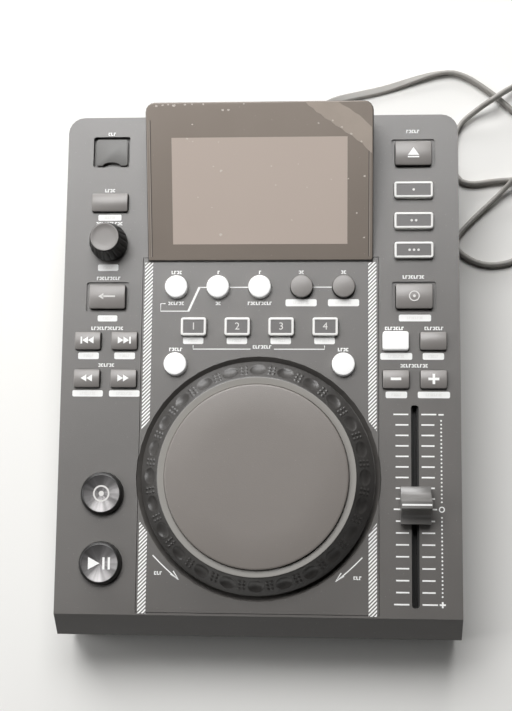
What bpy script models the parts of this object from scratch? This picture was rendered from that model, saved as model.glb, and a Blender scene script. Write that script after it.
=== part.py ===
"""A tabletop disc player for a DJ: a sloping panel with a jog wheel, a pitch fader, keys, a select knob
and a raised display, over a slot-in disc drive, with a mains lead. Metres, +Z up, front towards -Y.
It stands on its feet, with the origin under the middle of its box."""

import math

import bmesh
import bpy
from mathutils import Matrix, Vector

# Clearances that every fit uses
GAP = 0.0003
OVERRUN = 0.002

# Jog wheel, from the touch plate out: a rim, a band with finger dimples, and the gap to its dish
JOG_PLATE_RADIUS = 0.0495
JOG_RIM = 0.00315
JOG_BAND = 0.0095
JOG_CLEARANCE = 0.00315
JOG_CROWN_RADIUS = JOG_PLATE_RADIUS + JOG_RIM
JOG_RADIUS = JOG_CROWN_RADIUS + JOG_BAND
JOG_RECESS_RADIUS = JOG_RADIUS + JOG_CLEARANCE

# Body: cover over tray, with a panel that slopes up to the back
SLOPE = math.radians(4.0)
FRONT_MARGIN = 0.0076
KEY_BAND = 0.0525
SCREEN_REACH = 0.0823
COLUMN_WIDTH = 0.0438
JOG_BULGE = 0.0011
PANEL_FRONT_HEIGHT = 0.052
CHAMFER_RUN = 0.0105
CHAMFER_DROP = 0.012
SEAM_HEIGHT = 0.018
TRAY_HEIGHT = 0.006
WALL = 0.0025
CORNER_RADIUS = 0.009
EDGE_ROUND = 0.0008
JACK_REACH = 0.008
PANEL_LENGTH = FRONT_MARGIN + 2 * JOG_RECESS_RADIUS + KEY_BAND + SCREEN_REACH
CENTRE_HALF = JOG_RECESS_RADIUS - JOG_BULGE
BODY_WIDTH = 2 * (CENTRE_HALF + COLUMN_WIDTH)
BODY_DEPTH = CHAMFER_RUN + PANEL_LENGTH * math.cos(SLOPE)
FRONT_Y = -(BODY_DEPTH + JACK_REACH) / 2
REAR_Y = FRONT_Y + BODY_DEPTH
BACK_HEIGHT = PANEL_FRONT_HEIGHT + PANEL_LENGTH * math.sin(SLOPE)

# Centre plate, laid in a recess of the cover and dished under the jog wheel
PLATE = 0.002
PLATE_RIM = 0.0012
BAND_MARGIN = 0.0025
WINDOW_LEDGE = 0.006
DISH_DEPTH = 0.003
DISH_TAPER = 0.0025
JOG_V = FRONT_MARGIN + JOG_RECESS_RADIUS
SCREEN_V = FRONT_MARGIN + 2 * JOG_RECESS_RADIUS + KEY_BAND

# Jog wheel in height, with its shaft and flanged bearing
JOG_SKIRT = 0.0034
JOG_CROWN_HEIGHT = 0.0132
JOG_TOP = 0.016
JOG_PLATE = 0.0027
JOG_WALL = 0.0024
DIMPLES = 24
DIMPLE_RADIUS = 0.0037
DIMPLE_DEPTH = 0.0011
SPINDLE_RADIUS = 0.003
HUB_RADIUS = 0.008
BEARING_RADIUS = 0.009
BEARING_FLANGE = 0.014
BEARING_FLANGE_THICK = 0.0015
BEARING_LENGTH = 0.0125
COLLAR_RADIUS = 0.005
COLLAR_THICK = 0.0022

# Keys: a cap through the panel, a wider flange under it, and a switch block below
KEY_TRAVEL = 0.0012
KEY_FLANGE = 0.0008
KEY_LIP = 0.001
KEY_CHAMFER = 0.0005
KEY_CORNER = 0.0012
KEY_RISE = 0.003
ROUND_KEY_RISE = 0.0035
TRANSPORT_RISE = 0.004
ROUND_KEY_RADIUS = 0.00615
TRANSPORT_RADIUS = 0.0114
SMALL_KEY = (0.0141, 0.0101)
LARGE_KEY = (0.0198, 0.0134)
SOURCE_KEY = (0.0211, 0.009)
BACK_KEY = (0.020, 0.0105)
HOT_KEY = (0.0139, 0.010)
KEY_FRAME = (0.0237, 0.0167)
KEY_FRAME_DEPTH = 0.001
KEY_PAIR_PITCH = 0.0201
LOOP_PITCH = 0.0228
HOT_PITCH = 0.0238
SHIFT_ANGLE = math.radians(53.3)
SHIFT_CLEARANCE = 0.0107
SWITCH_SIZE = 0.006

# Rows of the side columns, as shares of the panel's length, and rows of the key band as shares of it
ROW_SHARES = {
    "usb": 0.927, "eject": 0.918, "source_1": 0.842, "back": 0.820, "source_2": 0.779,
    "knob": 0.737, "source_3": 0.719, "frame": 0.626, "track": 0.537, "search": 0.461,
    "cue": 0.233, "play": 0.098,
}
HOT_ROW_SHARE = 0.305
LOOP_ROW_SHARE = 0.726
COLUMN_SHARE = 0.441

# Circuit board that carries the switches, hung under the cover on posts
BOARD = 0.0016
BOARD_DROP = 0.009
BOARD_MARGIN = 0.011
BOARD_FRONT = 0.004
BOARD_HOLE = 0.011
BOARD_BACK_RIGHT = 0.011
BOARD_BACK_LEFT = 0.034
POST_RADIUS = 0.003
BOARD_POST_SHARES = (0.03, 0.366, 0.678)

# Pitch fader
FADER_TRAVEL = 0.100
FADER_SLOT = (0.0041, 0.1067)
FADER_CAP = (0.016, 0.0198)
FADER_CAP_RISE = 0.0175
FADER_RIDGE = 0.0036
CAP_SLOPE_SHARES = ((0.5, 0.343), (0.46, 0.429), (0.36, 0.471), (0.24, 0.57), (0.15, 0.76))
FADER_FLOAT = 0.001
LEVER = (0.0012, 0.005)
LEVER_HEAD_SHARE = 0.257
FADER_BODY = (0.012, 0.116)
FADER_MARGIN = 0.0007
FADER_GROOVE = 0.0022
GROOVE_DEPTH_SHARE = 0.7

# Select knob, which turns and pushes
KNOB_RADIUS = 0.01035
KNOB_TOP_RADIUS = 0.0078
KNOB_TOP = 0.0155
KNOB_FLOAT = 0.0016
KNOB_FLUTES = 18
KNOB_FLUTE_SHARES = ((-0.28, 1.0), (0.28, 1.0), (0.5, 0.93))
KNOB_SKIRT_SHARE = 0.3
KNOB_PUSH = 0.0008
STEM_RADIUS = 0.003
STEM_FLANGE = 0.005
STEM_FLANGE_THICK = 0.001
STEM_TOP = 0.011
ENCODER_SIZE = 0.0118

# Display: a raised, tilted housing with a glossy lens over the module
SCREEN_TILT = math.radians(16.0)
SCREEN_WIDTH = 0.123
SCREEN_LIP = 0.0018
SCREEN_CORNER = 0.005
SCREEN_WALL = 0.002
SCREEN_RIM = 0.0022
LENS = 0.0016
LENS_SINK = 0.0002
LENS_SEAT = 0.0015
LENS_MARGIN = 0.002
LENS_FOOT = 0.001
WINDOW = (0.095, 0.0575)
WINDOW_START = 0.0090
LENS_LEDGE = 0.003
MODULE = (0.105, 0.067, 0.005)
DISPLAY_OPENING_HALF = 0.056
DISPLAY_MARGIN = 0.0045
DISPLAY_BACK = 0.009
HOUSING_TOE = 0.007

# Socket for a memory stick, upright in a pocket under a flap
USB_POCKET = (0.0205, 0.0175)
USB_POCKET_DEPTH = 0.003
USB_POCKET_WALL = 0.002
USB_SHELL = (0.0132, 0.0058)
USB_INNER = (0.0125, 0.0051)
USB_LENGTH = 0.014
USB_FLANGE = 0.0015
FLAP_MARGIN = 0.0009
FLAP = 0.002
FLAP_SINK = 0.0002
NOTCH_RADIUS = 0.003
HINGE_PIN = 0.0005
HINGE_BORE = 0.0008
HINGE_PIN_REACH = 0.002

# Disc drive: slot, sheet-metal chassis, turntable, feed roller and laser sled
DISC_RADIUS = 0.060
SLOT_WIDTH = 0.128
SLOT_LOW = 0.0270
SLOT_HIGH = 0.0324
CHASSIS = (0.148, 0.152)
CHASSIS_BASE = 0.012
CHASSIS_HEIGHT = 0.022
CHASSIS_INSET = 0.006
SHEET = 0.0012
TURNTABLE_SETBACK = 0.070
TURNTABLE_RADIUS = 0.015
TURNTABLE_TOP = 0.0274
TURNTABLE_DISC = 0.003
DISC_HUB = (0.0064, 0.0072)
MOTOR_RADIUS = 0.012
MOTOR_HEIGHT = 0.006
ROLLER_RADIUS = 0.0028
ROLLER_AXLE = 0.0015
ROLLER_WAIST_SHARE = 0.8
ROLLER_SETBACK = 0.0135
ROLLER_TOP = 0.0273
BRACKET = 0.003
SLED_SIZE = (0.034, 0.020, 0.005)
SLED_START = 0.022
SLED_TRAVEL = 0.030
RAIL_RADIUS = 0.0012
RAIL_SPREAD = 0.024
LENS_RADIUS = 0.003
LENS_RISE = 0.0012
BOSS_RADIUS = 0.004

# Rear panel with jacks, sockets, mains inlet and rocker switch
REAR_PANEL = (0.188, 0.036)
REAR_PANEL_BASE = 0.022
REAR_LIP = 0.002
REAR_LIP_THICK = 0.0015
SOCKET_HEIGHT = 0.040
JACK_RADIUS = 0.0042
JACK_BORE = 0.0016
JACK_SKIRT = 0.0055
JACK_SKIRT_THICK = 0.002
JACK_SPREAD = 0.014
JACK_X = 0.062
REMOTE_X = 0.036
REMOTE_RADIUS = 0.0036
REMOTE_BORE = 0.0018
REMOTE_REACH = 0.002
DATA_X = 0.014
DATA_SOCKET = (0.0086, 0.0078)
DATA_DEPTH = 0.009
DATA_WALL = 0.0015
DATA_TONGUE = (0.0052, 0.0032)
INLET_X = -0.025
INLET_PITCH = 0.0062
INLET_RADIUS = 0.0044
INLET_DEPTH = 0.011
INLET_WALL = 0.002
NOSE_ROUND_SHARE = 0.96
SWITCH_X = -0.062
ROCKER = (0.0130, 0.0186)
ROCKER_RADIUS = 0.0093
ROCKER_REACH = 0.0022
ROCKER_THROW = math.radians(18.0)
ROCKER_FACE = math.radians(70.0)
ROCKER_PIN = 0.001
ROCKER_PIN_REACH = 0.002
ROCKER_FRAME = 0.003

# Feet and posts
FOOT_RADIUS = 0.010
FOOT_INSET = 0.020
TRAY_WALL = 0.0025
POST_INSET = 0.0055
COVER_POST_RADIUS = 0.004

# Mains lead: connector, lead along the table, coil and two-pin plug
LEAD_RADIUS = 0.0025
CONNECTOR_REACH = 0.014
CONNECTOR_GRIP = 0.0012
GRIP_ROUND_SHARE = 0.8
RELIEF_LENGTH = 0.022
RELIEF_RADIUS = 0.0036
COIL_RADIUS = 0.0286
COIL_LAYER_TURNS = 3
COIL_CLIMB_SHARE = 0.5
COIL_CLEARANCE = 0.0005
COIL_POINTS = 24
PLUG = (0.035, 0.036, 0.0137)
PLUG_SHOULDER_SHARE = 0.3
PIN_RADIUS = 0.002
PIN_LENGTH = 0.019
PIN_SPREAD = 0.0186

# Facets
ROUND_SIDES = 20
SMALL_SIDES = 12
JOG_SIDES = 48
LEAD_STEPS = 112
CURVE_STEPS = 12
ROCKER_STEPS = 10


# Scene
for old in list(bpy.data.objects):
    bpy.data.objects.remove(old)
PARTS = bpy.data.collections.new("disc_player")
CUTTERS = bpy.data.collections.new("cutters")
for group in (PARTS, CUTTERS):
    bpy.context.scene.collection.children.link(group)
CUTTERS.hide_render = True

# The deck is the frame of the sloping panel: X to the right, Y up the slope, Z out of it, from its front edge
deck = bpy.data.objects.new("deck", None)
deck.location = (0, FRONT_Y + CHAMFER_RUN, PANEL_FRONT_HEIGHT)
deck.rotation_euler = (SLOPE, 0, 0)
PARTS.objects.link(deck)
# The screen frame lies on the slanted face of the display, from the middle of its lower edge
screen_frame = bpy.data.objects.new("screen_frame", None)
screen_frame.parent = deck
screen_frame.location = (0, SCREEN_V, SCREEN_LIP)
screen_frame.rotation_euler = (SCREEN_TILT, 0, 0)
PARTS.objects.link(screen_frame)


# Materials
def finish(name, colour, roughness, metallic=0.0):
    material = bpy.data.materials.new(name)
    material.use_nodes = True
    shader = material.node_tree.nodes["Principled BSDF"]
    shader.inputs["Base Color"].default_value = (*colour, 1.0)
    shader.inputs["Roughness"].default_value = roughness
    shader.inputs["Metallic"].default_value = metallic
    return material


# Shapes, as bmesh
def moved(bm, x=0, y=0, z=0):
    bmesh.ops.translate(bm, vec=(x, y, z), verts=bm.verts)
    return bm


def turned_to(bm, matrix):
    bmesh.ops.transform(bm, matrix=matrix, verts=bm.verts)
    return bm


def facing(axis):
    """The turn that lays a shape's own Z along another axis."""
    return Vector((0, 0, 1)).rotation_difference(Vector(axis)).to_matrix().to_4x4()


def together(*shapes):
    whole = bmesh.new()
    for shape in shapes:
        mesh = bpy.data.meshes.new("shape")
        shape.to_mesh(mesh)
        whole.from_mesh(mesh)
        bpy.data.meshes.remove(mesh)
        shape.free()
    return whole


def box(size, base=0, corner=0, segments=2):
    """A block on its base height, its upright edges rounded."""
    bm = bmesh.new()
    bmesh.ops.create_cube(bm, size=1)
    bmesh.ops.scale(bm, vec=size, verts=bm.verts)
    moved(bm, z=base + size[2] / 2)
    if corner:
        upright = [e for e in bm.edges if abs(e.verts[0].co.z - e.verts[1].co.z) > size[2] / 2]
        bmesh.ops.bevel(bm, geom=upright, offset=corner, segments=segments, profile=0.5, affect="EDGES")
    return bm


def rod(radius, height, base=0, sides=ROUND_SIDES, top_radius=None):
    bm = bmesh.new()
    top = radius if top_radius is None else top_radius
    bmesh.ops.create_cone(bm, cap_ends=True, segments=sides, radius1=radius, radius2=top, depth=height)
    return moved(bm, z=base + height / 2)


def top_face(bm):
    level = [face for face in bm.faces if face.normal.z > math.cos(SLOPE)]
    highest = max(face.calc_center_median().z for face in level)
    return max(
        (face for face in level if highest - face.calc_center_median().z < GAP / 10),
        key=lambda face: face.calc_area(),
    )


def raised(bm, height):
    """Draws the top face up, straight."""
    bm.normal_update()
    grown = bmesh.ops.extrude_discrete_faces(bm, faces=[top_face(bm)])["faces"]
    bmesh.ops.translate(bm, vec=(0, 0, height), verts=grown[0].verts)
    return bm


def narrowed(bm, inset, rise=0):
    """Draws the top face in, and up by the rise."""
    bm.normal_update()
    bmesh.ops.inset_region(bm, faces=[top_face(bm)], thickness=inset, depth=rise, use_even_offset=True)
    return bm


def tapered(bm, rise, share):
    """Draws the top face up, and scales it about its middle."""
    raised(bm, rise)
    bm.normal_update()
    face = top_face(bm)
    middle = face.calc_center_median()
    bmesh.ops.scale(bm, vec=(share, share, 1), space=Matrix.Translation(-middle), verts=face.verts)
    return bm


def extruded(points, depth, base=0):
    """A flat outline in XY drawn up from its base height, by way of a filled curve."""
    curve = bpy.data.curves.new("outline", "CURVE")
    curve.dimensions = "2D"
    curve.fill_mode = "BOTH"
    curve.extrude = depth / 2
    spline = curve.splines.new("POLY")
    spline.points.add(len(points) - 1)
    for point, (x, y) in zip(spline.points, points):
        point.co = (x, y, 0, 1)
    spline.use_cyclic_u = True
    bm = from_object(bpy.data.objects.new("outline", curve))
    bmesh.ops.dissolve_limit(bm, angle_limit=SLOPE / 10, verts=bm.verts, edges=bm.edges)
    return moved(bm, z=base + depth / 2)


def lathed(profile, steps=ROUND_SIDES):
    """A profile of radius and height points, turned round Z. It starts and ends on the axis, or closes."""
    mesh = bpy.data.meshes.new("profile")
    ends = [(i, i + 1) for i in range(len(profile) - 1)]
    if profile[0][0] or profile[-1][0]:
        ends.append((len(profile) - 1, 0))
    mesh.from_pydata([(radius, 0, height) for radius, height in profile], ends, [])
    obj = bpy.data.objects.new("profile", mesh)
    screw = obj.modifiers.new("turn", "SCREW")
    screw.steps = screw.render_steps = steps
    screw.use_merge_vertices = True
    screw.merge_threshold = GAP / 100
    return from_object(obj)


def from_object(obj):
    """The object's finished mesh as a closed bmesh facing out, and the object itself removed."""
    bpy.context.scene.collection.objects.link(obj)
    graph = bpy.context.evaluated_depsgraph_get()
    mesh = bpy.data.meshes.new_from_object(obj.evaluated_get(graph))
    bm = bmesh.new()
    bm.from_mesh(mesh)
    bmesh.ops.remove_doubles(bm, verts=bm.verts, dist=GAP / 100)
    bmesh.ops.recalc_face_normals(bm, faces=bm.faces)
    bpy.data.meshes.remove(mesh)
    bpy.data.objects.remove(obj)
    return bm


def inset_outline(points, distance):
    """The corners of a convex outline, drawn in by a distance."""
    turn = sum(a[0] * b[1] - b[0] * a[1] for a, b in zip(points, points[1:] + points[:1]))
    sign = 1 if turn > 0 else -1
    drawn_in = []
    for before, here, after in zip(points[-1:] + points[:-1], points, points[1:] + points[:1]):
        first = (Vector(here) - Vector(before)).normalized()
        second = (Vector(after) - Vector(here)).normalized()
        side = Vector((-first.y, first.x)) * sign + Vector((-second.y, second.x)) * sign
        drawn_in.append(tuple(Vector(here) + side * distance / (1 + first.dot(second))))
    return drawn_in


# Objects
def piece(name, bm, material, parent=None, at=(0, 0, 0)):
    """A named sub-part, with its origin at its place."""
    mesh = bpy.data.meshes.new(name)
    bm.to_mesh(mesh)
    bm.free()
    mesh.materials.append(material)
    obj = bpy.data.objects.new(name, mesh)
    PARTS.objects.link(obj)
    obj.parent = parent
    obj.location = at
    return obj


def worked(obj, operation, shapes, parent=None):
    """Joins shapes to a sub-part, or cuts them out of it, one after another."""
    tools = []
    for bm in shapes:
        mesh = bpy.data.meshes.new("tool")
        bm.to_mesh(mesh)
        bm.free()
        tool = bpy.data.objects.new("tool", mesh)
        CUTTERS.objects.link(tool)
        tool.hide_render = True
        tool.display_type = "WIRE"
        tool.parent = parent
        tools.append(tool)
        boolean = obj.modifiers.new("work", "BOOLEAN")
        boolean.solver = "EXACT"
        boolean.operation = operation
        boolean.object = tool
    graph = bpy.context.evaluated_depsgraph_get()
    mesh = bpy.data.meshes.new_from_object(obj.evaluated_get(graph))
    obj.modifiers.clear()
    old = obj.data
    obj.data = mesh
    bpy.data.meshes.remove(old)
    for tool in tools:
        old = tool.data
        bpy.data.objects.remove(tool)
        bpy.data.meshes.remove(old)
    return obj


def joined(obj, *shapes, parent=None):
    return worked(obj, "UNION", shapes, parent)


def cut(obj, *shapes, parent=None):
    return worked(obj, "DIFFERENCE", shapes, parent)


# Places
def row(name):
    return PANEL_LENGTH * ROW_SHARES[name]


COLUMN_X = CENTRE_HALF + COLUMN_WIDTH * COLUMN_SHARE
PAIR_X = (COLUMN_X - KEY_PAIR_PITCH / 2, COLUMN_X + KEY_PAIR_PITCH / 2)
HOT_V = JOG_V + JOG_RECESS_RADIUS + KEY_BAND * HOT_ROW_SHARE
LOOP_V = JOG_V + JOG_RECESS_RADIUS + KEY_BAND * LOOP_ROW_SHARE
SHIFT_REACH = JOG_RECESS_RADIUS + SHIFT_CLEARANCE
SHIFT_X = SHIFT_REACH * math.cos(SHIFT_ANGLE)
SHIFT_V = JOG_V + SHIFT_REACH * math.sin(SHIFT_ANGLE)
BAND_HALF = CENTRE_HALF + BAND_MARGIN
BAND_DEPTH = PLATE + GAP + WALL
SLANT = SCREEN_REACH / math.cos(SCREEN_TILT)

# Name, size or radius, place across and up the panel, and rise of every key
COLUMN_KEYS = [
    ("back_key", BACK_KEY, -COLUMN_X, row("back"), KEY_RISE),
    ("reverse_key", LARGE_KEY, -COLUMN_X, row("frame"), KEY_RISE),
    ("track_back_key", SMALL_KEY, -PAIR_X[1], row("track"), KEY_RISE),
    ("track_next_key", SMALL_KEY, -PAIR_X[0], row("track"), KEY_RISE),
    ("search_back_key", SMALL_KEY, -PAIR_X[1], row("search"), KEY_RISE),
    ("search_forward_key", SMALL_KEY, -PAIR_X[0], row("search"), KEY_RISE),
    ("cue_key", TRANSPORT_RADIUS, -COLUMN_X, row("cue"), TRANSPORT_RISE),
    ("play_key", TRANSPORT_RADIUS, -COLUMN_X, row("play"), TRANSPORT_RISE),
    ("eject_key", LARGE_KEY, COLUMN_X, row("eject"), KEY_RISE),
    ("source_key_1", SOURCE_KEY, COLUMN_X, row("source_1"), KEY_RISE),
    ("source_key_2", SOURCE_KEY, COLUMN_X, row("source_2"), KEY_RISE),
    ("source_key_3", SOURCE_KEY, COLUMN_X, row("source_3"), KEY_RISE),
    ("jog_mode_key", LARGE_KEY, COLUMN_X, row("frame"), KEY_RISE),
    ("key_lock_key", SMALL_KEY, PAIR_X[0], row("track"), KEY_RISE),
    ("tap_key", SMALL_KEY, PAIR_X[1], row("track"), KEY_RISE),
    ("bend_minus_key", SMALL_KEY, PAIR_X[0], row("search"), KEY_RISE),
    ("bend_plus_key", SMALL_KEY, PAIR_X[1], row("search"), KEY_RISE),
]
LOOP_NAMES = ("auto_loop_key", "loop_in_key", "loop_out_key", "loop_half_key", "loop_double_key")
CENTRE_KEYS = [
    (name, ROUND_KEY_RADIUS, (i - 2) * LOOP_PITCH, LOOP_V, ROUND_KEY_RISE)
    for i, name in enumerate(LOOP_NAMES)
] + [
    (f"hot_cue_key_{i + 1}", HOT_KEY, (i - 1.5) * HOT_PITCH, HOT_V, KEY_RISE)
    for i in range(4)
] + [
    ("shift_key", ROUND_KEY_RADIUS, -SHIFT_X, SHIFT_V, ROUND_KEY_RISE),
    ("slip_key", ROUND_KEY_RADIUS, SHIFT_X, SHIFT_V, ROUND_KEY_RISE),
]
FRAMED_KEYS = ("reverse_key", "eject_key", "jog_mode_key")

COVER_PLASTIC = finish("cover_plastic", (0.16, 0.15, 0.145), 0.5)
TRAY_PLASTIC = finish("tray_plastic", (0.03, 0.03, 0.03), 0.6)
TRIM_PLASTIC = finish("trim_plastic", (0.15, 0.145, 0.14), 0.45)
KEY_PLASTIC = finish("key_plastic", (0.20, 0.20, 0.20), 0.4)
LIT_PLASTIC = finish("lit_plastic", (0.9, 0.9, 0.9), 0.3)
BLACK_PLASTIC = finish("black_plastic", (0.02, 0.02, 0.02), 0.45)
GLOSS_LENS = finish("gloss_lens", (0.12, 0.11, 0.10), 0.1)
METAL = finish("metal", (0.6, 0.6, 0.6), 0.3, 1.0)
SHEET_METAL = finish("sheet_metal", (0.5, 0.5, 0.5), 0.4, 1.0)
CIRCUIT_BOARD = finish("circuit_board", (0.02, 0.10, 0.04), 0.5)
RUBBER = finish("rubber", (0.02, 0.02, 0.02), 0.8)
LEAD_GREY = finish("lead_grey", (0.35, 0.34, 0.33), 0.5)

# Turns that lay a shape along another axis of the room
SIDEWAYS = Matrix(((0, 0, 1, 0), (1, 0, 0, 0), (0, 1, 0, 0), (0, 0, 0, 1)))
TO_BACK = facing((0, 1, 0))
TO_RIGHT = facing((1, 0, 0))


def rounded_edges(bm, chosen, radius, segments):
    edges = [edge for edge in bm.edges if chosen(edge)]
    bmesh.ops.bevel(bm, geom=edges, offset=radius, segments=segments, profile=0.5, affect="EDGES")
    return bm


def upright_at_back(y):
    """Picks the upright edges that stand at a depth y."""
    return lambda edge: all(abs(v.co.y - y) < GAP for v in edge.verts) and (
        abs(edge.verts[0].co.x - edge.verts[1].co.x) < GAP
    )


def cap(size, rise, under):
    """A key: a flange that lies below the panel, and a cap that stands up through it with a worn edge."""
    low = -under - GAP - KEY_FLANGE
    if isinstance(size, float):
        bm = rod(size + KEY_LIP, KEY_FLANGE, low)
    else:
        width, depth = size
        bm = box((width + 2 * KEY_LIP, depth + 2 * KEY_LIP, KEY_FLANGE), low, KEY_CORNER + KEY_LIP)
    raised(narrowed(bm, KEY_LIP), rise + under + GAP - KEY_CHAMFER)
    return narrowed(bm, KEY_CHAMFER, KEY_CHAMFER)


def opening(size, x, v, clear=GAP, low=-BAND_DEPTH - OVERRUN, high=OVERRUN):
    """A hole for a cap, round or rectangular, with its clearance."""
    if isinstance(size, float):
        bm = rod(size + clear, high - low, low)
    else:
        bm = box((size[0] + 2 * clear, size[1] + 2 * clear, high - low), low, KEY_CORNER + clear)
    return moved(bm, x, v)


# Top cover: one moulding, open below
side_profile = [
    (FRONT_Y, SEAM_HEIGHT),
    (FRONT_Y, PANEL_FRONT_HEIGHT - CHAMFER_DROP),
    (FRONT_Y + CHAMFER_RUN, PANEL_FRONT_HEIGHT),
    (REAR_Y, BACK_HEIGHT),
    (REAR_Y, SEAM_HEIGHT),
]
shell = turned_to(extruded(side_profile, BODY_WIDTH, -BODY_WIDTH / 2), SIDEWAYS)
rounded_edges(shell, upright_at_back(REAR_Y), CORNER_RADIUS, 5)
top_cover = piece("top_cover", shell, COVER_PLASTIC)
inner_profile = inset_outline(side_profile, WALL)
inner_profile[0] = (inner_profile[0][0], SEAM_HEIGHT - OVERRUN)
inner_profile[-1] = (inner_profile[-1][0], SEAM_HEIGHT - OVERRUN)
inner_width = BODY_WIDTH - 2 * WALL
hollow = turned_to(extruded(inner_profile, inner_width, -inner_width / 2), SIDEWAYS)
rounded_edges(hollow, upright_at_back(REAR_Y - WALL), CORNER_RADIUS - WALL, 5)
cut(top_cover, hollow)

band_front = WALL
band_back = SCREEN_V + DISPLAY_MARGIN
band = box((2 * BAND_HALF, band_back - band_front, BAND_DEPTH - WALL / 2), -BAND_DEPTH)
pocket_base = box(
    (USB_POCKET[0] + 2 * USB_POCKET_WALL, USB_POCKET[1] + 2 * USB_POCKET_WALL,
     USB_POCKET_DEPTH + USB_POCKET_WALL - WALL / 2),
    -USB_POCKET_DEPTH - USB_POCKET_WALL,
)
post_x = BAND_HALF + POST_RADIUS + USB_POCKET_WALL
post_height = BOARD_DROP - GAP - WALL / 2
posts = [
    moved(rod(POST_RADIUS, post_height, GAP - BOARD_DROP, SMALL_SIDES), side * post_x, PANEL_LENGTH * share)
    for side in (-1, 1)
    for share in BOARD_POST_SHARES
]
joined(
    top_cover,
    moved(band, 0, (band_front + band_back) / 2),
    moved(pocket_base, -COLUMN_X, row("usb")),
    together(*posts),
    parent=deck,
)


def corner_posts(low, front_high, back_high, radius):
    """Four upright posts in the corners of the body."""
    x = BODY_WIDTH / 2 - POST_INSET
    return together(*[
        moved(rod(radius, high - low, low, SMALL_SIDES), side * x, y)
        for side in (-1, 1)
        for y, high in ((FRONT_Y + POST_INSET, front_high), (REAR_Y - POST_INSET, back_high))
    ])


joined(
    top_cover,
    corner_posts(
        SEAM_HEIGHT + GAP,
        PANEL_FRONT_HEIGHT - CHAMFER_DROP + POST_INSET / 2,
        BACK_HEIGHT - WALL / 2 - POST_INSET * math.tan(SLOPE),
        COVER_POST_RADIUS,
    ),
)

through = BAND_DEPTH + 2 * OVERRUN
through_low = -BAND_DEPTH - OVERRUN
knob_hole = moved(rod(STEM_RADIUS + GAP, through, through_low), -COLUMN_X, row("knob"))
fader_v = FADER_MARGIN + FADER_BODY[1] / 2
fader_slot = box((*FADER_SLOT, through), through_low, FADER_SLOT[0] / 3)
jog_opening = moved(rod(JOG_RECESS_RADIUS + GAP, through, through_low, JOG_SIDES), 0, JOG_V)
display_front = SCREEN_V + DISPLAY_MARGIN
display_back = PANEL_LENGTH - DISPLAY_BACK
display_opening = box((2 * DISPLAY_OPENING_HALF, display_back - display_front, through), through_low)
cut(
    top_cover,
    together(
        *[opening(size, x, v) for _, size, x, v, _ in COLUMN_KEYS],
        knob_hole,
        moved(fader_slot, COLUMN_X, fader_v),
        jog_opening,
        moved(display_opening, 0, (display_front + display_back) / 2),
    ),
    parent=deck,
)
flange_reliefs = [
    opening(size, x, v, KEY_LIP + GAP, high=GAP / 2 - WALL)
    for _, size, x, v, _ in COLUMN_KEYS
    if abs(x) < COLUMN_X and size == SMALL_KEY
]
cut(top_cover, together(*flange_reliefs), parent=deck)
window_front = SHIFT_V - ROUND_KEY_RADIUS - 2 * KEY_LIP
window_back = LOOP_V + ROUND_KEY_RADIUS + 2 * KEY_LIP
key_window = box((2 * (CENTRE_HALF - WINDOW_LEDGE), window_back - window_front, through), through_low)
plate_front = PLATE_RIM + GAP
plate_back = SCREEN_V + SCREEN_WALL
plate_bed = box(
    (2 * (CENTRE_HALF + GAP), plate_back - plate_front + 2 * GAP, PLATE + GAP + OVERRUN), -PLATE - GAP
)
cut(
    top_cover,
    moved(key_window, 0, (window_front + window_back) / 2),
    moved(plate_bed, 0, (plate_front + plate_back) / 2),
    together(
        *[
            opening(KEY_FRAME, x, v, 0, -KEY_FRAME_DEPTH)
            for name, _, x, v, _ in COLUMN_KEYS
            if name in FRAMED_KEYS
        ],
        opening(USB_POCKET, -COLUMN_X, row("usb"), 0, -USB_POCKET_DEPTH),
    ),
    moved(
        box((USB_SHELL[0] + 2 * GAP, USB_SHELL[1] + 2 * GAP, USB_LENGTH), -USB_LENGTH), -COLUMN_X, row("usb")
    ),
    parent=deck,
)

slot_height = SLOT_HIGH - SLOT_LOW
slot = box((SLOT_WIDTH, WALL + 2 * OVERRUN, slot_height), SLOT_LOW)
rear_hole = box(
    (REAR_PANEL[0] + 2 * GAP, WALL + 2 * OVERRUN, REAR_PANEL[1] + 2 * GAP), REAR_PANEL_BASE - GAP
)
cut(
    top_cover,
    together(moved(slot, 0, FRONT_Y + WALL / 2), moved(rear_hole, 0, REAR_Y - WALL / 2)),
)

# Centre plate: a trim plate with the dish for the jog wheel
plate = box((2 * CENTRE_HALF, plate_back - plate_front, PLATE), -PLATE)
centre_plate = piece("centre_plate", moved(plate, 0, (plate_front + plate_back) / 2), TRIM_PLASTIC, deck)
dish = rod(JOG_RECESS_RADIUS, DISH_DEPTH + PLATE, -DISH_DEPTH - PLATE, JOG_SIDES)
joined(centre_plate, moved(dish, 0, JOG_V), parent=deck)
dish_low = JOG_RECESS_RADIUS - DISH_TAPER
dish_high = dish_low + DISH_TAPER * (DISH_DEPTH + OVERRUN) / DISH_DEPTH
cut(
    centre_plate,
    moved(rod(dish_low, DISH_DEPTH + OVERRUN, -DISH_DEPTH, JOG_SIDES, dish_high), 0, JOG_V),
    together(
        moved(rod(BEARING_RADIUS + GAP, 2 * (DISH_DEPTH + PLATE), -2 * (DISH_DEPTH + PLATE)), 0, JOG_V),
        *[opening(size, x, v) for _, size, x, v, _ in CENTRE_KEYS],
    ),
    parent=deck,
)

# Keys
for name, size, x, v, rise in COLUMN_KEYS:
    piece(name, cap(size, rise, WALL), KEY_PLASTIC, deck, (x, v, 0))
for name, size, x, v, rise in CENTRE_KEYS:
    piece(name, cap(size, rise, PLATE), LIT_PLASTIC, deck, (x, v, 0))

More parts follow.
